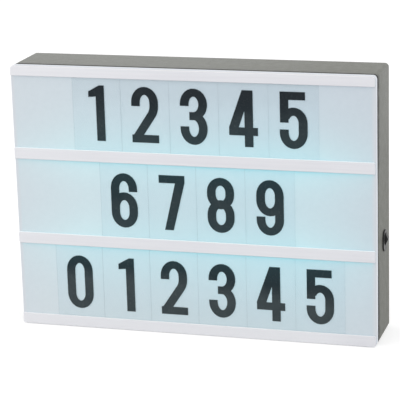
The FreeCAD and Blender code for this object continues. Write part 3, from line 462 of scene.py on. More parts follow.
def panel_light(tree, place):
    """The colour and strength of the light that leaves the panel's face."""
    axes = parts(tree, place)
    x, z = axes["X"], axes["Z"]
    ends = spread(tree, math_node(tree, "ABSOLUTE", x), BAND_EVEN, BAND_TAPER, 1.0, BAND_REST)
    cloud = spread(tree, noise(tree, place, 16.0, 2.0), 0.3, 0.7, 0.94, 1.06)
    glow = product(tree, both_bands(tree, x, z), ends, cloud)
    to_left = over_width(tree, x, -0.5, 0.25, 1.0, 0.0)
    even = mix_colours(tree, to_left, PANEL_EVEN, PANEL_EVEN_LEFT)
    cyan = mix_colours(tree, to_left, PANEL_CYAN, PANEL_CYAN_LEFT)
    light = mix_colours(tree, glow, even, cyan)
    shelf = product(tree, over_height(tree, z, 0.0, 0.25, 0.16, 0.0), ends)
    light = mix_colours(tree, shelf, light, SHELF_LIGHT)
    # painted shadow: a thin line of purer cyan under each middle rail's lip
    under_rails = math_node(tree, "ADD", *(hump(tree, z, height, LINE_WIDTH) for height in LINE_HEIGHTS))
    shown = product(tree, ends, math_node(tree, "MULTIPLY_ADD", to_left, -0.5, 1.0))
    return mix_colours(tree, product(tree, under_rails, shown), light, PANEL_SHADOW_LINE)


# %% [markdown]
# ## The lit panel
#
# The light leaves through the face, so it is emission on top of a paler opal base. Near the border the
# side wall stands in the way of the light: the last few millimetres, and the wall itself, turn from cool
# to the plastic's own neutral white. How near a point is to the border is the smallest of its distances
# to the four sides, which is all that `border` works out. Faces that look up get a darker opal, as painted
# shade. On the side walls, next to the joint, the upper part carries the same painted seam shadow as the
# housing: its colour is painted dark and its emission is taken away.

# %% The lit panel
PANEL_OPAL = (0.437, 0.459, 0.481, 1.0)
PANEL_DULL = (0.421, 0.443, 0.465, 1.0)
# painted shade: a darker opal for faces that look up
TOP_OPAL_SHADED = (0.420, 0.406, 0.420, 1.0)
SIDE_LIGHT = (0.200, 0.240, 0.278, 1.0)
BORDER_OPAL = (0.520, 0.505, 0.520, 1.0)
BORDER_LIGHT = (0.190, 0.228, 0.256, 1.0)
BORDER_WIDTH = 4.0 * MM
JOINT = 2.6 * MM               # width of the open joint behind the panel's side walls
SIDE_SHADOW_REACH = 1.2 * MM          # how far the painted seam shadow reaches forward on them


def border(tree, x, z):
    """One at the panel's border and on its side walls, zero inside."""
    to_side = math_node(tree, "SUBTRACT", BOX_WIDTH / 2, math_node(tree, "ABSOLUTE", x))
    to_top = math_node(tree, "SUBTRACT", BOX_HEIGHT, z)
    nearest = math_node(tree, "MINIMUM", to_side, math_node(tree, "MINIMUM", z, to_top))
    return spread(tree, nearest, 0.3 * MM, BORDER_WIDTH, 1.0, 0.0)


def lit_opal():
    """Opal plastic with the glow of the LED strips behind it."""
    material, tree, shader, place = new_finish("lit_panel")
    axes = parts(tree, place)
    x, z = axes["X"], axes["Z"]
    edge = border(tree, x, z)
    facing = surface_normal(tree)
    sideways = spread(tree, math_node(tree, "ABSOLUTE", facing["X"]), 0.4, 0.9, 0.0, 1.0)
    light = mix_colours(tree, edge, panel_light(tree, place), BORDER_LIGHT)
    light = mix_colours(tree, sideways, light, SIDE_LIGHT)
    # painted seam shadow on the upper side walls next to the joint: dark colour, no emission
    by_joint = spread(tree, axes["Y"], RIM - JOINT - SIDE_SHADOW_REACH, RIM - JOINT - SIDE_SHADOW_REACH / 2, 0.0, 1.0)
    seam_shadow_mask = product(tree, by_joint, sideways, over_height(tree, z, *UPPER_SEAM_SHADOW, 0.0, 1.0))
    tree.links.new(mix_colours(tree, seam_shadow_mask, light, gray(0.0)), shader.inputs["Emission Color"])
    shader.inputs["Emission Strength"].default_value = 1.0
    mottle = spread(tree, noise(tree, place, 230.0, 4.0, 0.7), 0.35, 0.65, 0.0, 1.0)
    opal = mix_colours(tree, edge, mix_colours(tree, mottle, PANEL_OPAL, PANEL_DULL), BORDER_OPAL)
    # painted shade on faces that look up
    opal = mix_colours(tree, spread(tree, facing["Z"], 0.3, 0.9, 0.0, 1.0), opal, TOP_OPAL_SHADED)
    tree.links.new(mix_colours(tree, seam_shadow_mask, opal, SEAM_PAINTED_SHADOW), shader.inputs["Base Color"])
    gloss = spread(tree, noise(tree, place, 60.0, 3.0), 0.3, 0.7, 0.32, 0.46)
    tree.links.new(gloss, shader.inputs["Roughness"])
    relief(tree, shader, noise(tree, place, 1200.0, 2.0), 0.008 * MM, 0.4 * MM)
    return material


paint(lit_opal(), "front_panel")

# %% [markdown]
# ## Clear tiles
#
# A tile is a sheet of clear PVC 0.4 mm thick. Glass shaders bend the light and need many samples; a sheet
# this thin hardly bends it, so we let the view straight through a slightly blue Transparent shader and
# mix in a mirror-like one. How much mirror is Schlick's rule: 4 percent face on, rising to all of it at a
# glancing view. The four cut edges show darker, as they do on any clear sheet, because light inside it
# leaves there and little comes back. A painted shade dulls the upper end of the tiles that stand under
# the top rail, most of all just below its lip.

# %% Clear tiles
TILE_TINT = (0.970, 0.984, 0.990, 1.0)
# painted shade under the top rail
TILE_SHADED = (0.900, 0.910, 0.916, 1.0)
TILE_FACE_MIRROR = 0.035       # a little under 4 percent, for a sheet that hands have dulled
CUT_COVER = 0.55               # how much a cut edge hides of what is behind it
TILE_EDGE = (0.50, 0.56, 0.60, 1.0)


def clear_sheet():
    """Thin clear PVC with gloss, faint scuffs and darker cut edges."""
    material, tree, shader, place = new_finish("clear_tile")
    facing = add(tree, "ShaderNodeLayerWeight", inputs={"Blend": 0.5}).outputs["Facing"]
    grazing = math_node(tree, "POWER", facing, 5.0)
    mirror = math_node(tree, "MULTIPLY_ADD", grazing, 1.0 - TILE_FACE_MIRROR, TILE_FACE_MIRROR)
    cut = math_node(tree, "LESS_THAN", math_node(tree, "ABSOLUTE", surface_normal(tree)["Y"]), 0.5)
    scuffs = spread(tree, noise(tree, place, 240.0, 4.0, 0.7), 0.62, 0.80, 0.0, 0.03)
    cover = math_node(tree, "MAXIMUM", math_node(tree, "ADD", mirror, scuffs), product(tree, cut, CUT_COVER))
    shader.inputs["Metallic"].default_value = 1.0
    tree.links.new(mix_colours(tree, cut, gray(0.95), TILE_EDGE), shader.inputs["Base Color"])
    gloss = spread(tree, noise(tree, place, 90.0, 3.0), 0.3, 0.7, 0.05, 0.12)
    tree.links.new(gloss, shader.inputs["Roughness"])
    z = parts(tree, place)["Z"]
    # painted shade near the top rail, strongest just below its lip
    near_top = over_height(tree, z, 0.85, 0.91, 0.0, 0.20)
    below_lip = over_height(tree, z, 0.947, 0.960, 0.0, 0.30)
    through = mix_colours(tree, math_node(tree, "ADD", near_top, below_lip), TILE_TINT, TILE_SHADED)
    see_through = add(tree, "ShaderNodeBsdfTransparent", inputs={"Color": through})
    mixed = add(tree, "ShaderNodeMixShader", inputs={
        0: cover, 1: see_through.outputs[0], 2: shader.outputs[0]})
    tree.links.new(mixed.outputs[0], tree.nodes["Material Output"].inputs["Surface"])
    return material


tile_names = sorted(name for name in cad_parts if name.startswith("tile_"))
paint(clear_sheet(), *tile_names)

# %% [markdown]
# ## Drawing the numerals
#
# The tiles carry plain numerals in a bold, narrow sign-writer's style: all strokes of one width, round
# bowls, straight sides. A font could be typed in, but drawing them with a pen teaches more and gives
# exactly this style. The pen is broad: `STEM` wide on upright strokes and `BAR` wide on level ones.
#
# A numeral is a few pen strokes. Each stroke is a path of points, and `arc` gives the points of a quarter,
# half or whole ellipse. `ribbon` widens a path into a closed strip. Strips of one numeral may overlap;
# `delaunay_2d_cdt` then melts them into one outline.

# %% Drawing the numerals
CAP = 45.6 * MM                # height of a numeral
CAP_LIFT = 11.7 * MM           # tile's lower edge to the foot of a numeral
STEM = 7.2 * MM                # width of an upright stroke
BAR = 6.5 * MM                 # height of a level stroke
WIDE = 22.4 * MM               # width of a numeral
BOWL = 9.6 * MM                # upright radius of a round end
RIGHT = WIDE - STEM            # the pen's middle runs from 0 to RIGHT and from 0 to TOP
TOP = CAP - BAR
MIDDLE = TOP / 2 + 0.6 * MM
HALF = RIGHT / 2


def arc(x, z, start, end, rise=BOWL, reach=HALF, steps=14):
    """Points along an ellipse round (x, z), from one angle to another, in degrees."""
    angles = [math.radians(start + (end - start) * i / steps) for i in range(steps + 1)]
    return [Vector((x + reach * math.cos(a), z + rise * math.sin(a))) for a in angles]


def ribbon(path, closed=False):
    """A strip round a path: both of its long edges, in the same order as the path."""
    left, right = [], []
    count = len(path)
    for i, point in enumerate(path):
        before = path[(i - 1) % count] if closed or i else point
        after = path[(i + 1) % count] if closed or i < count - 1 else point
        way = (after - before).normalized()
        side = Vector((-way.y * STEM / 2, way.x * BAR / 2))
        left.append(point + side)
        right.append(point - side)
    return left, right


print("numerals %.1f mm high, strokes %.1f mm" % (CAP / MM, STEM / MM))

# %% [markdown]
# ## Numerals from 0 to 4
#
# Each function below returns strips as closed polygons. A ring such as the 0 is cut into two half strips,
# because a polygon with a hole in it is awkward to describe. Straight-sided figures such as 1 and 4 are
# easiest as plain polygons: four or seven corners say it all.

# %% Numerals from 0 to 4
def strip(path):
    """An open path as one polygon."""
    left, right = ribbon(path)
    return left + right[::-1]


def ring(low, high, rise=BOWL):
    """A closed loop with round ends and straight sides, as two polygons that share their ends."""
    path = arc(HALF, high - rise, 180, 0, rise) + arc(HALF, low + rise, 0, -180, rise)
    left, right = ribbon(path, closed=True)
    half = len(path) // 2
    first = left[:half + 1] + right[:half + 1][::-1]
    second = left[half:] + left[:1] + right[:1] + right[half:][::-1]
    return [first, second]


def polygon(*points):
    """Corners in millimetres from the numeral's lower left corner, brought to the pen's own zero."""
    shift = Vector((STEM / 2, BAR / 2))
    return [Vector(point) * MM - shift for point in points]


def numeral_zero():
    return ring(0.0, TOP)


def numeral_one():
    return [polygon((7.4, 0), (14.6, 0), (14.6, 45.6), (10.4, 45.6), (1.2, 40.4), (1.2, 35.8), (7.4, 36.4))]


def numeral_two():
    crown = arc(HALF, TOP - BOWL, 180, 0) + [Vector((RIGHT, TOP - BOWL - 2.5 * MM))]
    neck = arc(RIGHT - 12.0 * MM, TOP - BOWL - 2.5 * MM, 0, -36, 13.0 * MM, 12.0 * MM, 6)
    foot = polygon((0, 0), (22.4, 0), (22.4, 6.5), (0, 6.5))
    start = Vector((0.0, TOP - BOWL - 3.0 * MM))
    return [strip([start] + crown + neck[1:] + [Vector((0.9 * MM, 1.5 * MM))]), foot]


def numeral_three():
    upper_rise = (TOP - MIDDLE) / 2
    lower_rise = MIDDLE / 2
    upper = arc(HALF, TOP - upper_rise, 180, -90, upper_rise, steps=20)
    lower = arc(HALF, lower_rise, 90, -180, lower_rise, steps=20)
    start = Vector((0.0, TOP - upper_rise - 1.5 * MM))
    end = Vector((0.0, lower_rise + 1.5 * MM))
    spur = polygon((7.6, 20.1), (13.2, 20.1), (13.2, 26.6), (7.6, 26.6))
    return [strip([start] + upper), strip(lower + [end]), spur]


def numeral_four():
    post = polygon((12.6, 0), (19.6, 0), (19.6, 45.6), (12.6, 45.6))
    bar = polygon((0, 9.2), (23.4, 9.2), (23.4, 15.7), (0, 15.7))
    slope = polygon((0, 9.2), (0, 15.7), (10.8, 45.6), (18.6, 45.6), (6.9, 13.0), (6.9, 9.2))
    return [post, bar, slope]


# %% [markdown]
# ## Numerals from 5 to 9
#
# The same few tools draw the rest. The 5 joins two plain bars to a bowl, the 8 is two rings that overlap,
# and the 9 is the 6 turned upside down, as sign-writers have always done it.

# %% Numerals from 5 to 9
def numeral_five():
    bar = polygon((0.3, 39.1), (20.6, 39.1), (20.6, 45.6), (0.3, 45.6))
    back = polygon((0.3, 20.9), (7.2, 20.9), (7.2, 45.6), (0.3, 45.6))
    rise = 9.2 * MM
    bowl = arc(HALF, 26.6 * MM - rise, 150, 0, rise)
    low = arc(HALF, BOWL, 0, -180)
    return [bar, back, strip(bowl + low + [Vector((0.0, BOWL + 2.5 * MM))])]


def numeral_six():
    back = arc(HALF, TOP - BOWL, 0, 180) + [Vector((0.0, BOWL))]
    start = Vector((RIGHT, TOP - BOWL - 2.5 * MM))
    return [strip([start] + back)] + ring(0.0, MIDDLE + 3.0 * MM)


def numeral_seven():
    bar = polygon((0, 39.1), (21.6, 39.1), (21.6, 45.6), (0, 45.6))
    slope = polygon((4.0, 0), (11.4, 0), (21.6, 39.9), (21.6, 43.0), (14.0, 41.0))
    return [bar, slope]


def numeral_eight():
    return ring(0.0, MIDDLE + BAR / 12, 9.0 * MM) + ring(MIDDLE - BAR / 12, TOP, 8.6 * MM)


def numeral_nine():
    """A six turned upside down."""
    turned = []
    for outline in numeral_six():
        turned.append([Vector((RIGHT - point.x, TOP - point.y)) for point in outline])
    return turned


NUMERALS = [numeral_zero, numeral_one, numeral_two, numeral_three, numeral_four,
            numeral_five, numeral_six, numeral_seven, numeral_eight, numeral_nine]
print("numerals drawn", len(NUMERALS))

# %% [markdown]
# ## From outline to printed ink
#
# Screen-printed ink stands a few hundredths of a millimetre proud of the sheet. We melt the strips into
# one flat shape, dissolve the inner edges, and push the shape out by the ink's thickness, so that the
# numeral is a closed solid with real sides. The point of melting is that no two faces lie in the same
# place: a renderer would show speckles there.

# %% From outline to printed ink
INK_THICKNESS = 0.05 * MM
INK_GAP = 0.005 * MM           # between the ink and the sheet
INK_WELD = 0.01 * MM           # corners nearer than this become one
INK_FLAT = math.radians(0.5)   # edges that bend less than this are dissolved


def melted_faces(outlines):
    """One flat mesh that covers every outline once: its corners and its faces."""
    corners, loops = [], []
    for outline in outlines:
        turning = sum(a.cross(b) for a, b in zip(outline, outline[1:] + outline[:1]))
        loops.append(list(range(len(corners), len(corners) + len(outline))))
        corners += outline if turning > 0 else outline[::-1]
    places, _, faces, _, _, owners = delaunay_2d_cdt(corners, [], loops, 1, 1e-7)
    inside = [face for face, owner in zip(faces, owners) if owner]
    return places, inside


def ink_mesh(name, outlines):
    """A thin solid in the XZ plane, facing -Y, with its lower left corner at the pen's zero."""
    places, faces = melted_faces(outlines)
    mesh = bmesh.new()
    points = [mesh.verts.new((place.x, 0.0, place.y)) for place in places]
    for face in faces:
        mesh.faces.new([points[i] for i in face])
    bmesh.ops.remove_doubles(mesh, verts=mesh.verts, dist=INK_WELD)
    loose = [point for point in mesh.verts if not point.link_faces]
    bmesh.ops.delete(mesh, geom=loose, context="VERTS")
    bmesh.ops.dissolve_limit(mesh, angle_limit=INK_FLAT, verts=mesh.verts, edges=mesh.edges)
    pushed = bmesh.ops.extrude_face_region(mesh, geom=mesh.faces[:])
    moved = [part for part in pushed["geom"] if isinstance(part, bmesh.types.BMVert)]
    bmesh.ops.translate(mesh, verts=moved, vec=(0.0, -INK_THICKNESS, 0.0))
    bmesh.ops.recalc_face_normals(mesh, faces=mesh.faces)
    data = bpy.data.meshes.new(name)
    mesh.to_mesh(data)
    mesh.free()
    return data


# %% [markdown]
# ## Black ink
#
# The ink is dense black with a satin surface. It isn't perfectly even: it has a slight mottle, and a
# painted reflection lightens the lower part of each numeral, most in the lowest row. The rows repeat at
# one pitch, so `WRAP` turns a height on the box into a height on the numeral, whichever row it is in.
# Near the two glowing bands the ink leans cyan: painted light of the panel shining through it.

# %% Black ink
INK_DENSE = (0.006, 0.007, 0.012, 1.0)
# painted light: the panel's cyan shining through the ink near the bands
INK_GLOW = (0.011, 0.038, 0.047, 1.0)
# painted reflection on the lower part of the numerals
INK_PAINTED_REFLECTION = (0.045, 0.062, 0.068, 1.0)
REFLECTION_SHARES = (0.9, 0.35)      # how strong the painted reflection is at a numeral's foot, in the lowest row and above it
row_foots = [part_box("tile_%d_1" % row)[0].z for row in (3, 2)]
ROW_PITCH = row_foots[1] - row_foots[0]
INK_FOOT = row_foots[0] + CAP_LIFT


def black_ink():
    """Dense satin black with a faint mottle and a painted reflection that lightens it towards the foot."""
    material, tree, shader, place = new_finish("black_ink")
    mottle = noise(tree, place, 420.0, 3.0)
    z = parts(tree, place)["Z"]
    height = math_node(tree, "WRAP", z, INK_FOOT, INK_FOOT + ROW_PITCH)
    drift = spread(tree, noise(tree, place, 11.0, 1.0), 0.3, 0.7, -8.0 * MM, 8.0 * MM)
    level = math_node(tree, "ADD", height, drift)
    # painted reflection: lighter below the middle of each numeral
    reflected = spread(tree, level, INK_FOOT + 0.45 * CAP, INK_FOOT + 0.75 * CAP, 1.0, 0.0)
    lowest = spread(tree, z, INK_FOOT + CAP, INK_FOOT + ROW_PITCH, *REFLECTION_SHARES)
    blotches = spread(tree, noise(tree, place, 130.0, 3.0), 0.3, 0.7, -0.12, 0.12)
    reflected = math_node(tree, "MULTIPLY_ADD", reflected, lowest, blotches)
    # painted light of the bands through the ink
    glow = math_node(tree, "ADD", *(hump(tree, z, band, BAND_DEPTH) for band in BAND_HEIGHTS))
    colour = mix_colours(tree, reflected, mix_colours(tree, glow, INK_DENSE, INK_GLOW), INK_PAINTED_REFLECTION)
    tree.links.new(colour, shader.inputs["Base Color"])
    shader.inputs["Specular IOR Level"].default_value = 0.20
    tree.links.new(spread(tree, mottle, 0.3, 0.7, 0.18, 0.30), shader.inputs["Roughness"])
    relief(tree, shader, mottle, 0.004 * MM, 0.05 * MM)
    return material


# %% [markdown]
# ## Setting the tiles
#
# The rows simply count: 1 to 5 at the top, 6 to 9 in the middle and 0 to 5 below. Each numeral is centred
# on its tile and rides on the tile's own body, so that it slides with it.

# %% Setting the tiles
ROWS = {1: (1, 2, 3, 4, 5), 2: (6, 7, 8, 9), 3: (0, 1, 2, 3, 4, 5)}
ink = black_ink()


def print_numeral(row, place, value):
    """Print one numeral on one tile."""
    tile = "tile_%d_%d" % (row, place)
    low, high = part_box(tile)
    data = ink_mesh("numeral_%d_%d" % (row, place), NUMERALS[value]())
    data.materials.append(ink)
    left = min(vertex.co.x for vertex in data.vertices)
    right = max(vertex.co.x for vertex in data.vertices)
    foot = min(vertex.co.z for vertex in data.vertices)
    shift = Vector(((low.x + high.x - left - right) / 2, low.y - INK_GAP, low.z + CAP_LIFT - foot))
    data.transform(Matrix.Translation(shift))
    piece = bpy.data.objects.new(data.name, data)
    scene.collection.objects.link(piece)
    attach(piece, tile)
    return piece


numerals = []
for row, values in ROWS.items():
    for i, value in enumerate(values):
        numerals.append(print_numeral(row, i + 1, value))
print("numerals", len(numerals), "with", sum(len(piece.data.polygons) for piece in numerals), "faces")

# %% [markdown]
# ## Black switch plastic
#
# The switch is black ABS. Black plastic is never black all over: fingers polish its corners grey and the
# moulded texture catches light. `worn_edges`, from the relief cell, finds the corners. A mask that is
# broken up by noise looks handled; a clean line along each edge would look drawn.

# %% Black switch plastic
SWITCH_BLACK = (0.012, 0.012, 0.013, 1.0)
SWITCH_RUBBED = (0.085, 0.085, 0.088, 1.0)


def black_plastic():
    """Black ABS with a fine grain and rubbed edges."""
    material, tree, shader, place = new_finish("black_switch")
    patches = noise(tree, place, 260.0, 3.0)
    grain = noise(tree, place, 5200.0, 2.0, 0.6)
    rubbed = product(tree, worn_edges(tree, 0.22 * MM), spread(tree, patches, 0.35, 0.65, 0.15, 0.9))
    colour = mix_colours(tree, rubbed, SWITCH_BLACK, SWITCH_RUBBED)
    tree.links.new(colour, shader.inputs["Base Color"])
    tree.links.new(spread(tree, patches, 0.3, 0.7, 0.34, 0.50), shader.inputs["Roughness"])
    relief(tree, shader, grain, 0.010 * MM, 0.2 * MM)
    return material


paint(black_plastic(), "switch_bezel", "switch_body", "switch_slider")

# %% [markdown]
# ## Plated metal
#
# Nickel on the contacts, zinc on the screws and bare bronze in the springs differ only in their colour and
# in how rough they are, so one function makes all of them. Plating is smooth but not even: a soft noise
# moves the roughness about, and a second one, squeezed along one axis, adds the fine scratches of the
# strip that the part was stamped from. Tarnish gathers where the soft noise is high.

# %% Plated metal
def plated_metal(name, clean, tarnished, smooth, rough, streak=(1.0, 0.06, 1.0)):
    """A metal finish between two colours and two roughnesses, with fine scratches along one axis."""
    material, tree, shader, place = new_finish(name)
    patches = noise(tree, place, 190.0, 3.0)
    squeezed = add(tree, "ShaderNodeMapping", inputs={"Vector": place, "Scale": streak})
    scratches = noise(tree, squeezed.outputs[0], 3000.0, 3.0, 0.7)
    tarnish = spread(tree, patches, 0.48, 0.75, 0.0, 1.0)
    tree.links.new(mix_colours(tree, tarnish, clean, tarnished), shader.inputs["Base Color"])
    shader.inputs["Metallic"].default_value = 1.0
    shine = math_node(tree, "MULTIPLY_ADD", scratches, 0.4, product(tree, patches, 0.6))
    tree.links.new(spread(tree, shine, 0.3, 0.7, smooth, rough), shader.inputs["Roughness"])
    relief(tree, shader, scratches, 0.004 * MM, 0.08 * MM)
    return material


nickel = plated_metal("nickel_plate", (0.66, 0.63, 0.58, 1.0), (0.50, 0.45, 0.38, 1.0), 0.20, 0.38)
bronze = plated_metal("spring_bronze", (0.72, 0.58, 0.38, 1.0), (0.48, 0.35, 0.21, 1.0), 0.24, 0.44)
zinc = plated_metal("screw_steel", (0.60, 0.60, 0.61, 1.0), (0.44, 0.42, 0.38, 1.0), 0.26, 0.46)
steel = plated_metal("cell_steel", (0.64, 0.63, 0.61, 1.0), (0.52, 0.49, 0.45, 1.0), 0.22, 0.36)
tin = plated_metal("solder", (0.62, 0.62, 0.63, 1.0), (0.45, 0.45, 0.46, 1.0), 0.28, 0.52)
paint(nickel, "contact_plates", "switch_terminals")
paint(bronze, "contact_springs")

# %% [markdown]
# ## The reflector tray
#
# The tray is thin white polystyrene, matt inside so that it spreads the light. Thin trays are vacuum formed:
# the sheet is pulled into a mould, which leaves a soft, slow waviness and no sharp grain. A little dust
# settles on every face that looks up, and the normal's own Z tells us which faces those are.

# %% The reflector tray
TRAY_WHITE = (0.80, 0.81, 0.80, 1.0)
TRAY_DULL = (0.73, 0.735, 0.72, 1.0)
TRAY_DUST = (0.60, 0.59, 0.56, 1.0)


def formed_sheet():
    """Matt white sheet with slow waves, and dust on the faces that look up."""
    material, tree, shader, place = new_finish("white_tray")
    waves = noise(tree, place, 55.0, 2.0)
    specks = noise(tree, place, 900.0, 3.0, 0.7)
    colour = mix_colours(tree, spread(tree, waves, 0.3, 0.7, 0.0, 1.0), TRAY_WHITE, TRAY_DULL)
    dust = product(tree, spread(tree, surface_normal(tree)["Z"], 0.3, 1.0, 0.0, 0.6), specks)
    tree.links.new(mix_colours(tree, dust, colour, TRAY_DUST), shader.inputs["Base Color"])
    tree.links.new(spread(tree, waves, 0.3, 0.7, 0.55, 0.68), shader.inputs["Roughness"])
    relief(tree, shader, waves, 0.06 * MM, 0.5 * MM)
    return material


paint(formed_sheet(), "reflector_tray")

# %% [markdown]
# ## LED boards
#
# A light strip's board is covered with white lacquer. Two broad copper tracks run under the lacquer along
# its whole length; they show as slightly raised, slightly warmer lines. At both ends of each LED a tinned
# pad peeps out. All of it repeats, so we draw one LED's worth: `WRAP` folds the X coordinate back on
# itself every `LED_PITCH`, which puts zero in the middle of each LED.

# %% LED boards
BOARD_WHITE = (0.78, 0.79, 0.78, 1.0)
BOARD_TRACK = (0.74, 0.70, 0.62, 1.0)
PAD_TIN = (0.58, 0.58, 0.60, 1.0)
TRACK_EDGES = (2.3 * MM, 3.7 * MM)     # from the board's middle line
PAD_EDGES = (2.7 * MM, 3.6 * MM)       # from an LED's middle
PAD_HALF = 1.1 * MM                    # half a pad's height


def within(tree, value, edges):
    """One where a value lies between two edges."""
    over = math_node(tree, "GREATER_THAN", value, edges[0])
    under = math_node(tree, "LESS_THAN", value, edges[1])
    return product(tree, over, under)


def lacquered_board(name, middle):
    """White lacquer over two copper tracks, with tinned pads; 'middle' is the board's height."""
    material, tree, shader, place = new_finish(name)
    axes = parts(tree, place)
    off_line = math_node(tree, "ABSOLUTE", math_node(tree, "SUBTRACT", axes["Z"], middle))
    folded = math_node(tree, "WRAP", axes["X"], 0.0, LED_PITCH)
    off_led = math_node(tree, "ABSOLUTE", math_node(tree, "SUBTRACT", folded, LED_PITCH / 2))
    track = within(tree, off_line, TRACK_EDGES)
    pad = product(tree, within(tree, off_led, PAD_EDGES), math_node(tree, "LESS_THAN", off_line, PAD_HALF))
    speckle = noise(tree, place, 1400.0, 2.0)
    lacquer = mix_colours(tree, product(tree, speckle, 0.25), BOARD_WHITE, TRAY_DULL)
    colour = mix_colours(tree, track, lacquer, BOARD_TRACK)
    tree.links.new(mix_colours(tree, pad, colour, PAD_TIN), shader.inputs["Base Color"])
    tree.links.new(pad, shader.inputs["Metallic"])
    tree.links.new(spread(tree, speckle, 0.3, 0.7, 0.28, 0.42), shader.inputs["Roughness"])
    height = math_node(tree, "MULTIPLY_ADD", speckle, 0.1, math_node(tree, "MAXIMUM", track, pad))
    relief(tree, shader, height, 0.035 * MM, 0.1 * MM)
    return material


for name, height in zip(BOARDS, BAND_HEIGHTS):
    paint(lacquered_board(name, height), name)

# %% [markdown]
# ## LEDs and resistors
#
# Each LED is a white cup with a yellow window: the yellow is phosphor, which turns blue light white. Its
# window is the part that stands nearest to the panel, so a test on Y finds it, and it alone gives light.
# A resistor is a tiny dark block with a tinned cap at each end. The resistors stand three LEDs apart, so
# the same folding of X that drew the pads now finds their caps.

# %% LEDs and resistors
LED_CUP = (0.82, 0.82, 0.80, 1.0)
LED_PHOSPHOR = (0.85, 0.66, 0.16, 1.0)
LED_GRAINS = (0.78, 0.55, 0.10, 1.0)
LED_LIGHT = (0.85, 0.93, 1.0, 1.0)
WINDOW_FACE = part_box("upper_leds")[0].y
RESISTOR_STEP = 3 * LED_PITCH
RESISTOR_DARK = (0.018, 0.018, 0.020, 1.0)
CAP_START = 1.15 * MM          # from a resistor's middle to its caps


def led_finish():
    """A white cup whose foremost face is a glowing phosphor window."""
    material, tree, shader, place = new_finish("led")
    window = spread(tree, parts(tree, place)["Y"], WINDOW_FACE + 0.10 * MM, WINDOW_FACE + 0.25 * MM, 1.0, 0.0)
    grainy = noise(tree, place, 2600.0, 2.0)
    phosphor = mix_colours(tree, grainy, LED_PHOSPHOR, LED_GRAINS)
    tree.links.new(mix_colours(tree, window, LED_CUP, phosphor), shader.inputs["Base Color"])
    tree.links.new(mix_colours(tree, window, gray(0.0), LED_LIGHT), shader.inputs["Emission Color"])
    shader.inputs["Emission Strength"].default_value = 1.0
    tree.links.new(spread(tree, grainy, 0.3, 0.7, 0.22, 0.40), shader.inputs["Roughness"])
    relief(tree, shader, grainy, 0.006 * MM, 0.1 * MM)
    return material


def resistor_finish():
    """A dark ceramic block with tinned end caps."""
    material, tree, shader, place = new_finish("resistor")
    folded = math_node(tree, "WRAP", parts(tree, place)["X"], -RESISTOR_STEP / 2, RESISTOR_STEP / 2)
    cap = math_node(tree, "GREATER_THAN", math_node(tree, "ABSOLUTE", folded), CAP_START)
    speckle = noise(tree, place, 3800.0, 2.0)
    dark = mix_colours(tree, speckle, RESISTOR_DARK, gray(0.035))
    tree.links.new(mix_colours(tree, cap, dark, PAD_TIN), shader.inputs["Base Color"])
    tree.links.new(cap, shader.inputs["Metallic"])
    tree.links.new(spread(tree, speckle, 0.3, 0.7, 0.25, 0.45), shader.inputs["Roughness"])
    relief(tree, shader, speckle, 0.006 * MM, 0.08 * MM)
    return material


paint(led_finish(), "upper_leds", "lower_leds")
paint(resistor_finish(), "led_resistors")

# %% [markdown]
# ## Wires inside the housing
#
# Three wires and a flat link of two cores join the battery bay, the switch and the boards. Their ends are
# soldered and the back of the housing closes over them. PVC insulation is soft and slightly waxy: middling
# gloss, a faint unevenness of thickness, and a colour that is never quite pure.

# %% Wires inside the housing
WIRE_COLOURS = {
    "wire_white": ((0.70, 0.70, 0.67, 1.0), ("board_link_wires",)),
    "wire_red": ((0.42, 0.020, 0.016, 1.0), ("switch_to_led_wire", "battery_plus_wire")),
    "wire_black": ((0.016, 0.016, 0.017, 1.0), ("battery_minus_wire",)),
}


def insulation(name, colour):
    """Soft PVC with a waxy gloss."""
    material, tree, shader, place = new_finish(name)
    patches = noise(tree, place, 120.0, 3.0)
    ripple = noise(tree, place, 700.0, 2.0)
    duller = tuple(0.72 * value + 0.02 for value in colour[:3]) + (1.0,)
    tree.links.new(mix_colours(tree, spread(tree, patches, 0.3, 0.7, 0.0, 1.0), colour, duller),
                   shader.inputs["Base Color"])
    tree.links.new(spread(tree, patches, 0.3, 0.7, 0.32, 0.50), shader.inputs["Roughness"])
    relief(tree, shader, ripple, 0.02 * MM, 0.05 * MM)
    return material


for finish_name, (colour, wires) in WIRE_COLOURS.items():
    paint(insulation(finish_name, colour), *wires)

# %% [markdown]
# ## Turned shapes
#
# Cells and screws are round things with a varied outline. In a workshop they would be turned, and we do
# the same: `circle` gives the points of one ring and `stack` joins each ring to the next with faces. A ring
# of radius zero is a single point, which closes an end. Blender's Screw modifier could spin a profile too,
# but with rings we may later push single points about, which is how the screws get their threads.

# %% Turned shapes
WELD = 0.0005 * MM             # points nearer than this become one
SHARP_FROM = math.radians(32.0)        # edges that bend more than this stay sharp


def circle(radius, height, steps):
    """Points round the Z axis; a radius of zero gives the one point on it."""
    if radius == 0.0:
        return [Vector((0.0, 0.0, height))]
    angles = [2 * math.pi * i / steps for i in range(steps)]
    return [Vector((radius * math.cos(a), radius * math.sin(a), height)) for a in angles]


def stack(mesh, rings, finish=0):
    """Join rings of points, one above the other, with faces."""
    levels = [[mesh.verts.new(point) for point in ring] for ring in rings]
    for low, high in zip(levels, levels[1:]):
        steps = max(len(low), len(high))
        for i in range(steps):
            j = (i + 1) % steps
            corners = [low[i % len(low)], low[j % len(low)], high[j % len(high)], high[i % len(high)]]
            face = mesh.faces.new(list(dict.fromkeys(corners)))
            face.material_index = finish
            face.smooth = True


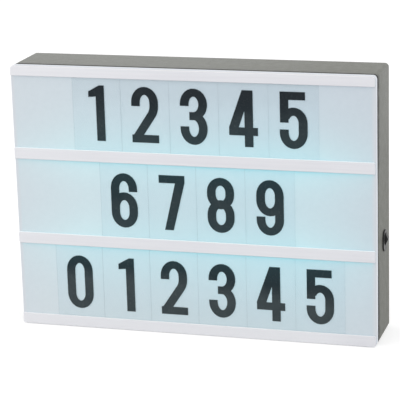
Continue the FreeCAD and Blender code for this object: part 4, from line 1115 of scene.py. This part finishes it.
def new_piece(name, mesh, finishes, nodes=()):
    """Make an object of a mesh that rides on the housing and stands for some construction nodes."""
    bmesh.ops.remove_doubles(mesh, verts=mesh.verts, dist=WELD)
    bmesh.ops.recalc_face_normals(mesh, faces=mesh.faces)
    data = bpy.data.meshes.new(name)
    mesh.to_mesh(data)
    mesh.free()
    for finish in finishes:
        data.materials.append(finish)
    data.set_sharp_from_angle(angle=SHARP_FROM)
    piece = bpy.data.objects.new(name, data)
    scene.collection.objects.link(piece)
    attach(piece, "housing")
    if nodes:
        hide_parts(*nodes)
    return piece


# %% [markdown]
# ## The cells' finish
#
# A cell is a steel can in a printed plastic sleeve. The sleeve is shrunk on, so it folds over the rim at
# both ends and leaves the metal bare there. We give it a dark body and a pale band at the plus end, so that
# one can see at a glance which way round each cell lies.

# %% The cells' finish
SLEEVE_DARK = (0.018, 0.050, 0.085, 1.0)
SLEEVE_PALE = (0.55, 0.57, 0.58, 1.0)


def printed_sleeve(name, colour):
    """Glossy printed film with faint shrink marks round the cell."""
    material, tree, shader, place = new_finish(name)
    squeezed = add(tree, "ShaderNodeMapping", inputs={"Vector": place, "Scale": (0.2, 0.2, 1.0)})
    marks = noise(tree, squeezed.outputs[0], 800.0, 3.0)
    patches = noise(tree, place, 140.0, 2.0)
    worn = tuple(0.85 * value + 0.03 for value in colour[:3]) + (1.0,)
    tree.links.new(mix_colours(tree, spread(tree, patches, 0.35, 0.7, 0.0, 1.0), colour, worn),
                   shader.inputs["Base Color"])
    tree.links.new(spread(tree, patches, 0.3, 0.7, 0.20, 0.34), shader.inputs["Roughness"])
    shader.inputs["Coat Weight"].default_value = 0.3
    relief(tree, shader, marks, 0.008 * MM, 0.1 * MM)
    return material


dark_sleeve = printed_sleeve("cell_sleeve", SLEEVE_DARK)
pale_band = printed_sleeve("cell_band", SLEEVE_PALE)
print("sleeve finishes", dark_sleeve.name, pale_band.name)

# %% [markdown]
# ## Plus and minus signs
#
# Whoever changes the cells looks for a plus and a minus. The signs are small squares of a grid, wrapped
# round the cell where the door's opening shows them, and pushed in a little so that each sign is a closed
# skin half sunk in the sleeve.

# %% Plus and minus signs
MARK_SQUARE = 0.65 * MM
MARK_PROUD = 0.04 * MM
SIGN_REACH = 4                 # squares from a sign's middle to its tip


def wrapped_sign(mesh, middle, radius, upright, finish):
    """A minus sign, or a plus with its upright bar, wrapped round a cell on the side that looks back."""
    reach = range(-SIGN_REACH, SIGN_REACH)
    squares = {(i, j) for i in reach for j in (-1, 0)}
    if upright:
        squares |= {(j, i) for i in reach for j in (-1, 0)}
    points = {}
    faces = []
    for i, j in sorted(squares):
        corners = ((i, j), (i + 1, j), (i + 1, j + 1), (i, j + 1))
        for corner in corners:
            if corner not in points:
                turn = corner[0] * MARK_SQUARE / radius
                outward = Vector((math.sin(turn), math.cos(turn), 0.0)) * (radius + MARK_PROUD)
                points[corner] = mesh.verts.new(middle + outward + Vector((0, 0, corner[1] * MARK_SQUARE)))
        faces.append(mesh.faces.new([points[corner] for corner in corners]))
    pushed = bmesh.ops.extrude_face_region(mesh, geom=faces)
    inner = [part for part in pushed["geom"] if isinstance(part, bmesh.types.BMVert)]
    for point in inner:
        outward = Vector((point.co.x - middle.x, point.co.y - middle.y, 0.0)).normalized()
        point.co -= outward * 3 * MARK_PROUD
    for point in inner + list(points.values()):
        for face in point.link_faces:
            face.material_index = finish


# %% [markdown]
# ## Six cells
#
# The outline is written once, as (radius, height) pairs in millimetres from the flat end up, in four
# stretches: bare metal, sleeve, band, bare metal with the nub. Every second cell is turned end for end.

# %% Six cells
CELL_STEPS = 48
CELL_FINISHES = [dark_sleeve, pale_band, steel]
CELL_OUTLINE = [               # each stretch begins with its finish, counted from zero
    (2, [(0, 0.35), (4.6, 0.35), (4.9, 0), (5.9, 0), (6.3, 0.25)]),
    (0, [(6.3, 0.25), (6.85, 0.35), (7.15, 0.7), (7.25, 1.2), (7.25, 36.4)]),
    (1, [(7.25, 36.4), (7.2, 36.5), (7.25, 36.6), (7.25, 48.0), (7.1, 48.5), (6.6, 48.85), (5.8, 48.95)]),
    (2, [(5.8, 48.95), (3.5, 49.0), (3.05, 49.15), (2.75, 49.5), (2.75, 50.1), (2.45, 50.5), (0, 50.5)]),
]
PLUS_HEIGHT = 42.6 * MM        # from the flat end
MINUS_HEIGHT = 6.0 * MM


def turn_cell(name, nub_up):
    """One cell in the place of its construction node."""
    low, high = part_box(name)
    middle = Vector(((low.x + high.x) / 2, (low.y + high.y) / 2, 0.0))
    flat = low.z if nub_up else high.z
    way = 1.0 if nub_up else -1.0
    mesh = bmesh.new()
    for finish, outline in CELL_OUTLINE:
        rings = [circle(radius * MM, height * MM, CELL_STEPS) for radius, height in outline]
        placed = [[Vector((p.x, p.y, flat + way * p.z)) + middle for p in ring] for ring in rings]
        stack(mesh, placed, finish)
    radius = (high.x - low.x) / 2
    for height, upright, finish in ((PLUS_HEIGHT, True, 0), (MINUS_HEIGHT, False, 1)):
        wrapped_sign(mesh, middle + Vector((0, 0, flat + way * height)), radius, upright, finish)
    return new_piece(name + "_turned", mesh, CELL_FINISHES, [name])


cells = [turn_cell("cell_%d" % (i + 1), i % 2 == 0) for i in range(6)]
print("cells", len(cells), "with", sum(len(piece.data.polygons) for piece in cells), "faces")

# %% [markdown]
# ## A screw's head
#
# A screw has four things that a plain cylinder lacks. The head is a dome with a soft rim. The recess is a
# cross whose walls lean inward. The thread is a spiral ridge, and the point tapers.
#
# The cross recess needs a flat face with a cross-shaped hole. `delaunay_2d_cdt` gives every triangle
# inside the circle and says which outlines own it; those that the cross owns too are left out.

# %% A screw's head
SCREW_STEPS = 24


def cross_outline(reach, half):
    """The twelve corners of a cross, anticlockwise."""
    arm = [Vector((reach, -half)), Vector((reach, half)), Vector((half, half))]
    return [Matrix.Rotation(math.radians(90 * k), 2) @ corner for k in range(4) for corner in arm]


def screw_head(mesh, radius, height, base):
    """A domed head with a soft rim and a cross recess, on a flat seat at one height."""
    top_radius = 0.80 * radius
    outline = [(radius, 0.0), (radius, 0.35 * height), (0.985 * radius, 0.60 * height),
               (0.92 * radius, 0.85 * height), (top_radius, height)]
    stack(mesh, [circle(r, base + h, SCREW_STEPS) for r, h in outline])
    rim = [Vector((point.x, point.y)) for point in circle(top_radius, 0.0, SCREW_STEPS)]
    mouth = cross_outline(0.60 * radius, 0.15 * radius)
    corners = rim + mouth
    loops = [list(range(SCREW_STEPS)), list(range(SCREW_STEPS, len(corners)))]
    places, _, faces, _, _, owners = delaunay_2d_cdt(corners, [], loops, 1, 1e-9)
    points = [mesh.verts.new((place.x, place.y, base + height)) for place in places]
    for face, owner in zip(faces, owners):
        if 1 not in owner:
            mesh.faces.new([points[i] for i in face])
    floor = cross_outline(0.42 * radius, 0.11 * radius)
    deep = base + 0.35 * height
    upper = [mesh.verts.new((corner.x, corner.y, base + height)) for corner in mouth]
    lower = [mesh.verts.new((corner.x, corner.y, deep)) for corner in floor]
    for i in range(len(mouth)):
        j = (i + 1) % len(mouth)
        mesh.faces.new([upper[i], upper[j], lower[j], lower[i]])
    mesh.faces.new(lower)


# %% [markdown]
# ## A screw's thread
#
# The thread comes from one formula: as we climb the shank, the ridge's place turns with the height, so the
# radius of a point depends on its angle and its height together. Near the tip both radii shrink, and the
# ridge runs out in a point.

# %% A screw's thread
THREAD_PITCH = 1.0 * MM
THREAD_SLICES = 6              # rings for each turn of the thread
THREAD_ROOT = 0.78             # the valleys' radius, as a share of the ridge's
RUN_IN = 0.5 * MM              # from the neck to the first ring of the thread
TIP_SLICES = 8


def threaded_ring(crest, root, height, ridge):
    """One ring of the thread: the ridge's place round the shank depends on the height."""
    points = []
    for point in circle(1.0, height, SCREW_STEPS):
        turn = math.atan2(point.y, point.x) / (2 * math.pi)
        phase = (height / THREAD_PITCH - turn) % 1.0
        lift = max(0.0, 1.0 - abs(phase - 0.5) * 4.0) * ridge
        radius = root + (crest - root) * lift
        points.append(Vector((point.x * radius, point.y * radius, height)))
    return points


def screw_shank(mesh, seat_radius, crest, length, threaded):
    """From the seat down: the seat's ring, a plain neck, the thread and a tapered point."""
    root = THREAD_ROOT * crest
    start = -(length - threaded)
    neck = [circle(seat_radius, 0.0, SCREW_STEPS), circle(crest, 0.0, SCREW_STEPS),
            circle(crest, start, SCREW_STEPS), circle(root, start - RUN_IN / 2, SCREW_STEPS)]
    top = start - RUN_IN
    taper = -length + 2.0 * crest
    slice_height = THREAD_PITCH / THREAD_SLICES
    count = int((top - taper) / slice_height)
    heights = [top - slice_height * i for i in range(count + 1)]
    body = []
    for i, height in enumerate(heights):
        body.append(threaded_ring(crest, root, height, min(1.0, i / THREAD_SLICES)))
    end = heights[-1]
    tip = []
    for i in range(1, TIP_SLICES):
        share = i / TIP_SLICES
        height = end + (-length - end) * share
        rest = 1 - share ** 2
        tip.append(threaded_ring(crest * rest, root * rest, height, 1.0))
    stack(mesh, neck + body + tip + [circle(0.0, -length, SCREW_STEPS)])


print("thread of %.1f mm pitch, %d rings to a turn" % (THREAD_PITCH / MM, THREAD_SLICES))

# %% [markdown]
# ## Ten screws
#
# Six long screws pull the housing onto the front panel, their heads deep in wells at the back. Four short
# ones hold the reflector tray, with their heads to the front. The construction gives each group's box; its
# corners tell us where the outermost screws are, and the seat's depth is one head's height from the end.

# %% Ten screws
SCREW_SPIN = 37.0                      # degrees from one screw's cross to the next, as driven by hand
LONG_HEAD = (2.7 * MM, 1.8 * MM)       # radius and height
SHORT_HEAD = (2.3 * MM, 1.3 * MM)
LONG_THREAD = (1.25 * MM, 8.0 * MM)    # radius and length of the threaded part
SHORT_THREAD = (1.0 * MM, 7.0 * MM)


def place_screws(name, node, places, seat, back, head, thread):
    """Make one group of screws along Y; 'back' is 1 where the heads look back, -1 where they look forward."""
    low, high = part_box(node)
    far = low.y if back > 0 else high.y
    mesh = bmesh.new()
    for i, (x, z) in enumerate(places):
        single = bmesh.new()
        screw_shank(single, head[0], thread[0], abs(seat - far), thread[1])
        screw_head(single, head[0], head[1], 0.0)
        turn = Matrix.Rotation(math.radians(-90.0 * back), 4, "X")
        spin = Matrix.Rotation(math.radians(SCREW_SPIN * i), 4, "Z")
        single.transform(Matrix.Translation((x, seat, z)) @ turn @ spin)
        data = bpy.data.meshes.new("single_screw")
        single.to_mesh(data)
        single.free()
        mesh.from_mesh(data)
        bpy.data.meshes.remove(data)
    return new_piece(name, mesh, [zinc], [node])


def group_places(node, radius, columns):
    """Middles of a group's screws, from the group's box and the radius of a head."""
    low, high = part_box(node)
    left, right = low.x + radius, high.x - radius
    xs = [left + (right - left) * i / (columns - 1) for i in range(columns)]
    return [(x, z) for x in xs for z in (low.z + radius, high.z - radius)]


long_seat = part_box("housing_screws")[1].y - LONG_HEAD[1]
short_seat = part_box("tray_screws")[0].y + SHORT_HEAD[1]
long_screws = place_screws("housing_screws_threaded", "housing_screws",
                           group_places("housing_screws", LONG_HEAD[0], 3),
                           long_seat, 1, LONG_HEAD, LONG_THREAD)
short_screws = place_screws("tray_screws_threaded", "tray_screws",
                            group_places("tray_screws", SHORT_HEAD[0], 2),
                            short_seat, -1, SHORT_HEAD, SHORT_THREAD)
for piece in (long_screws, short_screws):
    print(piece.name, len(piece.data.polygons), "faces")

# %% [markdown]
# ## Solder
#
# A wire doesn't just touch its terminal: a small bead of solder holds it. Beads are turned too. Each one
# is fattest where the wire meets the metal and thins out along the wire, which is how molten solder
# creeps. The beads sit where wires meet contact plates and switch terminals, whose own boxes tell us where.

# %% Solder
BEAD_OUTLINE = [               # (radius, height) pairs in millimetres, thin end last
    (0, -1.6), (0.7, -1.5), (1.15, -1.0), (1.3, -0.3), (1.2, 0.5), (0.95, 1.3), (0.8, 2.1), (0, 2.2)]
BEAD_STEPS = 20


def solder_bead(mesh, place, way):
    """One bead with its thin end pointing along the wire."""
    turn = Vector((0, 0, 1)).rotation_difference(Vector(way)).to_matrix().to_4x4()
    seat = Matrix.Translation(place) @ turn
    rings = [circle(radius * MM, height * MM, BEAD_STEPS) for radius, height in BEAD_OUTLINE]
    stack(mesh, [[seat @ point for point in ring] for ring in rings])


PLATE_HALF = 5.0 * MM          # from the end of the row of plates to the middle of its last tail
TERMINAL_HALF = 0.4 * MM       # from the top of the terminals to the middle of the upper one
solder = bmesh.new()
tails_low, tails_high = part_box("contact_plates")
plate_middle = (tails_low.y + tails_high.y) / 2
for x in (tails_low.x + PLATE_HALF, tails_high.x - PLATE_HALF):
    solder_bead(solder, Vector((x, plate_middle, tails_high.z)), (0, 0, 1))
terminals_low, terminals_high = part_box("switch_terminals")
terminal_middle = (terminals_low.y + terminals_high.y) / 2
for z in ((terminals_low.z + terminals_high.z) / 2, terminals_high.z - TERMINAL_HALF):
    solder_bead(solder, Vector((terminals_low.x, terminal_middle, z)), (-1, 0, 0))
beads = new_piece("solder_beads", solder, [tin])
print("solder beads", len(beads.data.polygons), "faces")

# %% [markdown]
# ## The floor
#
# The floor is a big pale sheet. It has to read as clean white, yet keep the soft shadow that makes the
# box stand on something. So for camera rays the floor adds a little light of its own: where it is open it
# goes white, where the box shades it a grey remains. The same white is shown to glossy and transmitted
# rays, so that plastic and clear sheets mirror a white room.

# %% The floor
FLOOR_PALE = (0.45, 0.45, 0.45, 1.0)
FLOOR_LIFT = 0.62              # the floor's own light
FLOOR_HALF = 6.0               # metres from its middle to its edge
FLOOR_DROP = 0.2 * MM          # it lies this far below the box, so that no two faces share a plane


def seen_or_mirrored(tree):
    """One for rays that the camera sees, directly or through gloss and clear sheets."""
    path = add(tree, "ShaderNodeLightPath").outputs
    mirrored = math_node(tree, "MAXIMUM", path["Is Glossy Ray"], path["Is Transmission Ray"])
    return math_node(tree, "MAXIMUM", path["Is Camera Ray"], mirrored)


def pale_floor():
    """A pale floor that goes white in view and keeps its shadows."""
    material, tree, shader, _ = new_finish("floor")
    shader.inputs["Base Color"].default_value = FLOOR_PALE
    shader.inputs["Roughness"].default_value = 0.9
    shader.inputs["Specular IOR Level"].default_value = 0.0
    shader.inputs["Emission Color"].default_value = gray(1.0)
    lift = product(tree, seen_or_mirrored(tree), FLOOR_LIFT)
    tree.links.new(lift, shader.inputs["Emission Strength"])
    return material


floor_mesh = bmesh.new()
bmesh.ops.create_grid(floor_mesh, x_segments=8, y_segments=8, size=FLOOR_HALF)
floor_data = bpy.data.meshes.new("floor")
floor_mesh.to_mesh(floor_data)
floor_mesh.free()
floor_data.materials.append(pale_floor())
floor = bpy.data.objects.new("floor", floor_data)
floor.location.z = -FLOOR_DROP
scene.collection.objects.link(floor)
floor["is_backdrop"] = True
print("floor %.1f mm below the box" % (FLOOR_DROP / MM))

# %% [markdown]
# ## Studio light
#
# Soft light from everywhere comes from the world, which the camera sees as a plain white backdrop. One
# large lamp above, in front and to the left gives the light a direction. The bigger a lamp is, the softer
# its shadows, so the lamp is wider than the box. The levels are chosen so that a colour renders about as
# it is written.

# %% Studio light
WORLD_LEVEL = 1.06
KEY_PLACE = (-0.7, -0.9, 1.5)
KEY_AIM = (0.0, 0.0, 0.1)
KEY_SIZE = 1.2                 # metres along each side
KEY_POWER = 4.0                # watts


def studio_world():
    """Even light, and a white background for what the camera sees."""
    world = bpy.data.worlds.new("studio")
    world.use_nodes = True
    tree = world.node_tree
    background = tree.nodes["Background"]
    background.inputs["Color"].default_value = gray(1.0)
    white = seen_or_mirrored(tree)
    tree.links.new(spread(tree, white, 0.0, 1.0, WORLD_LEVEL, 1.0), background.inputs["Strength"])
    scene.world = world


def soft_lamp(name, place, aim, size, power):
    """A square area lamp that looks at a point."""
    data = bpy.data.lights.new(name, "AREA")
    data.size = size
    data.energy = power
    lamp = bpy.data.objects.new(name, data)
    lamp.location = place
    lamp.rotation_euler = (Vector(aim) - Vector(place)).to_track_quat("-Z", "Y").to_euler()
    scene.collection.objects.link(lamp)
    return lamp


studio_world()
key = soft_lamp("key", KEY_PLACE, KEY_AIM, KEY_SIZE, KEY_POWER)
print("world at", WORLD_LEVEL, "and a", key.name, "lamp of", KEY_POWER, "W,", KEY_SIZE, "m wide")

# %% [markdown]
# ## Sizes
#
# Last, we compare the finished model with the construction's own box: the looks must not make the object
# bigger.

# %% Sizes
visual_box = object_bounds()
for word, box in (("construction", cad_box), ("finished", visual_box)):
    print(word, [round(value / MM, 2) for corner in box for value in corner])
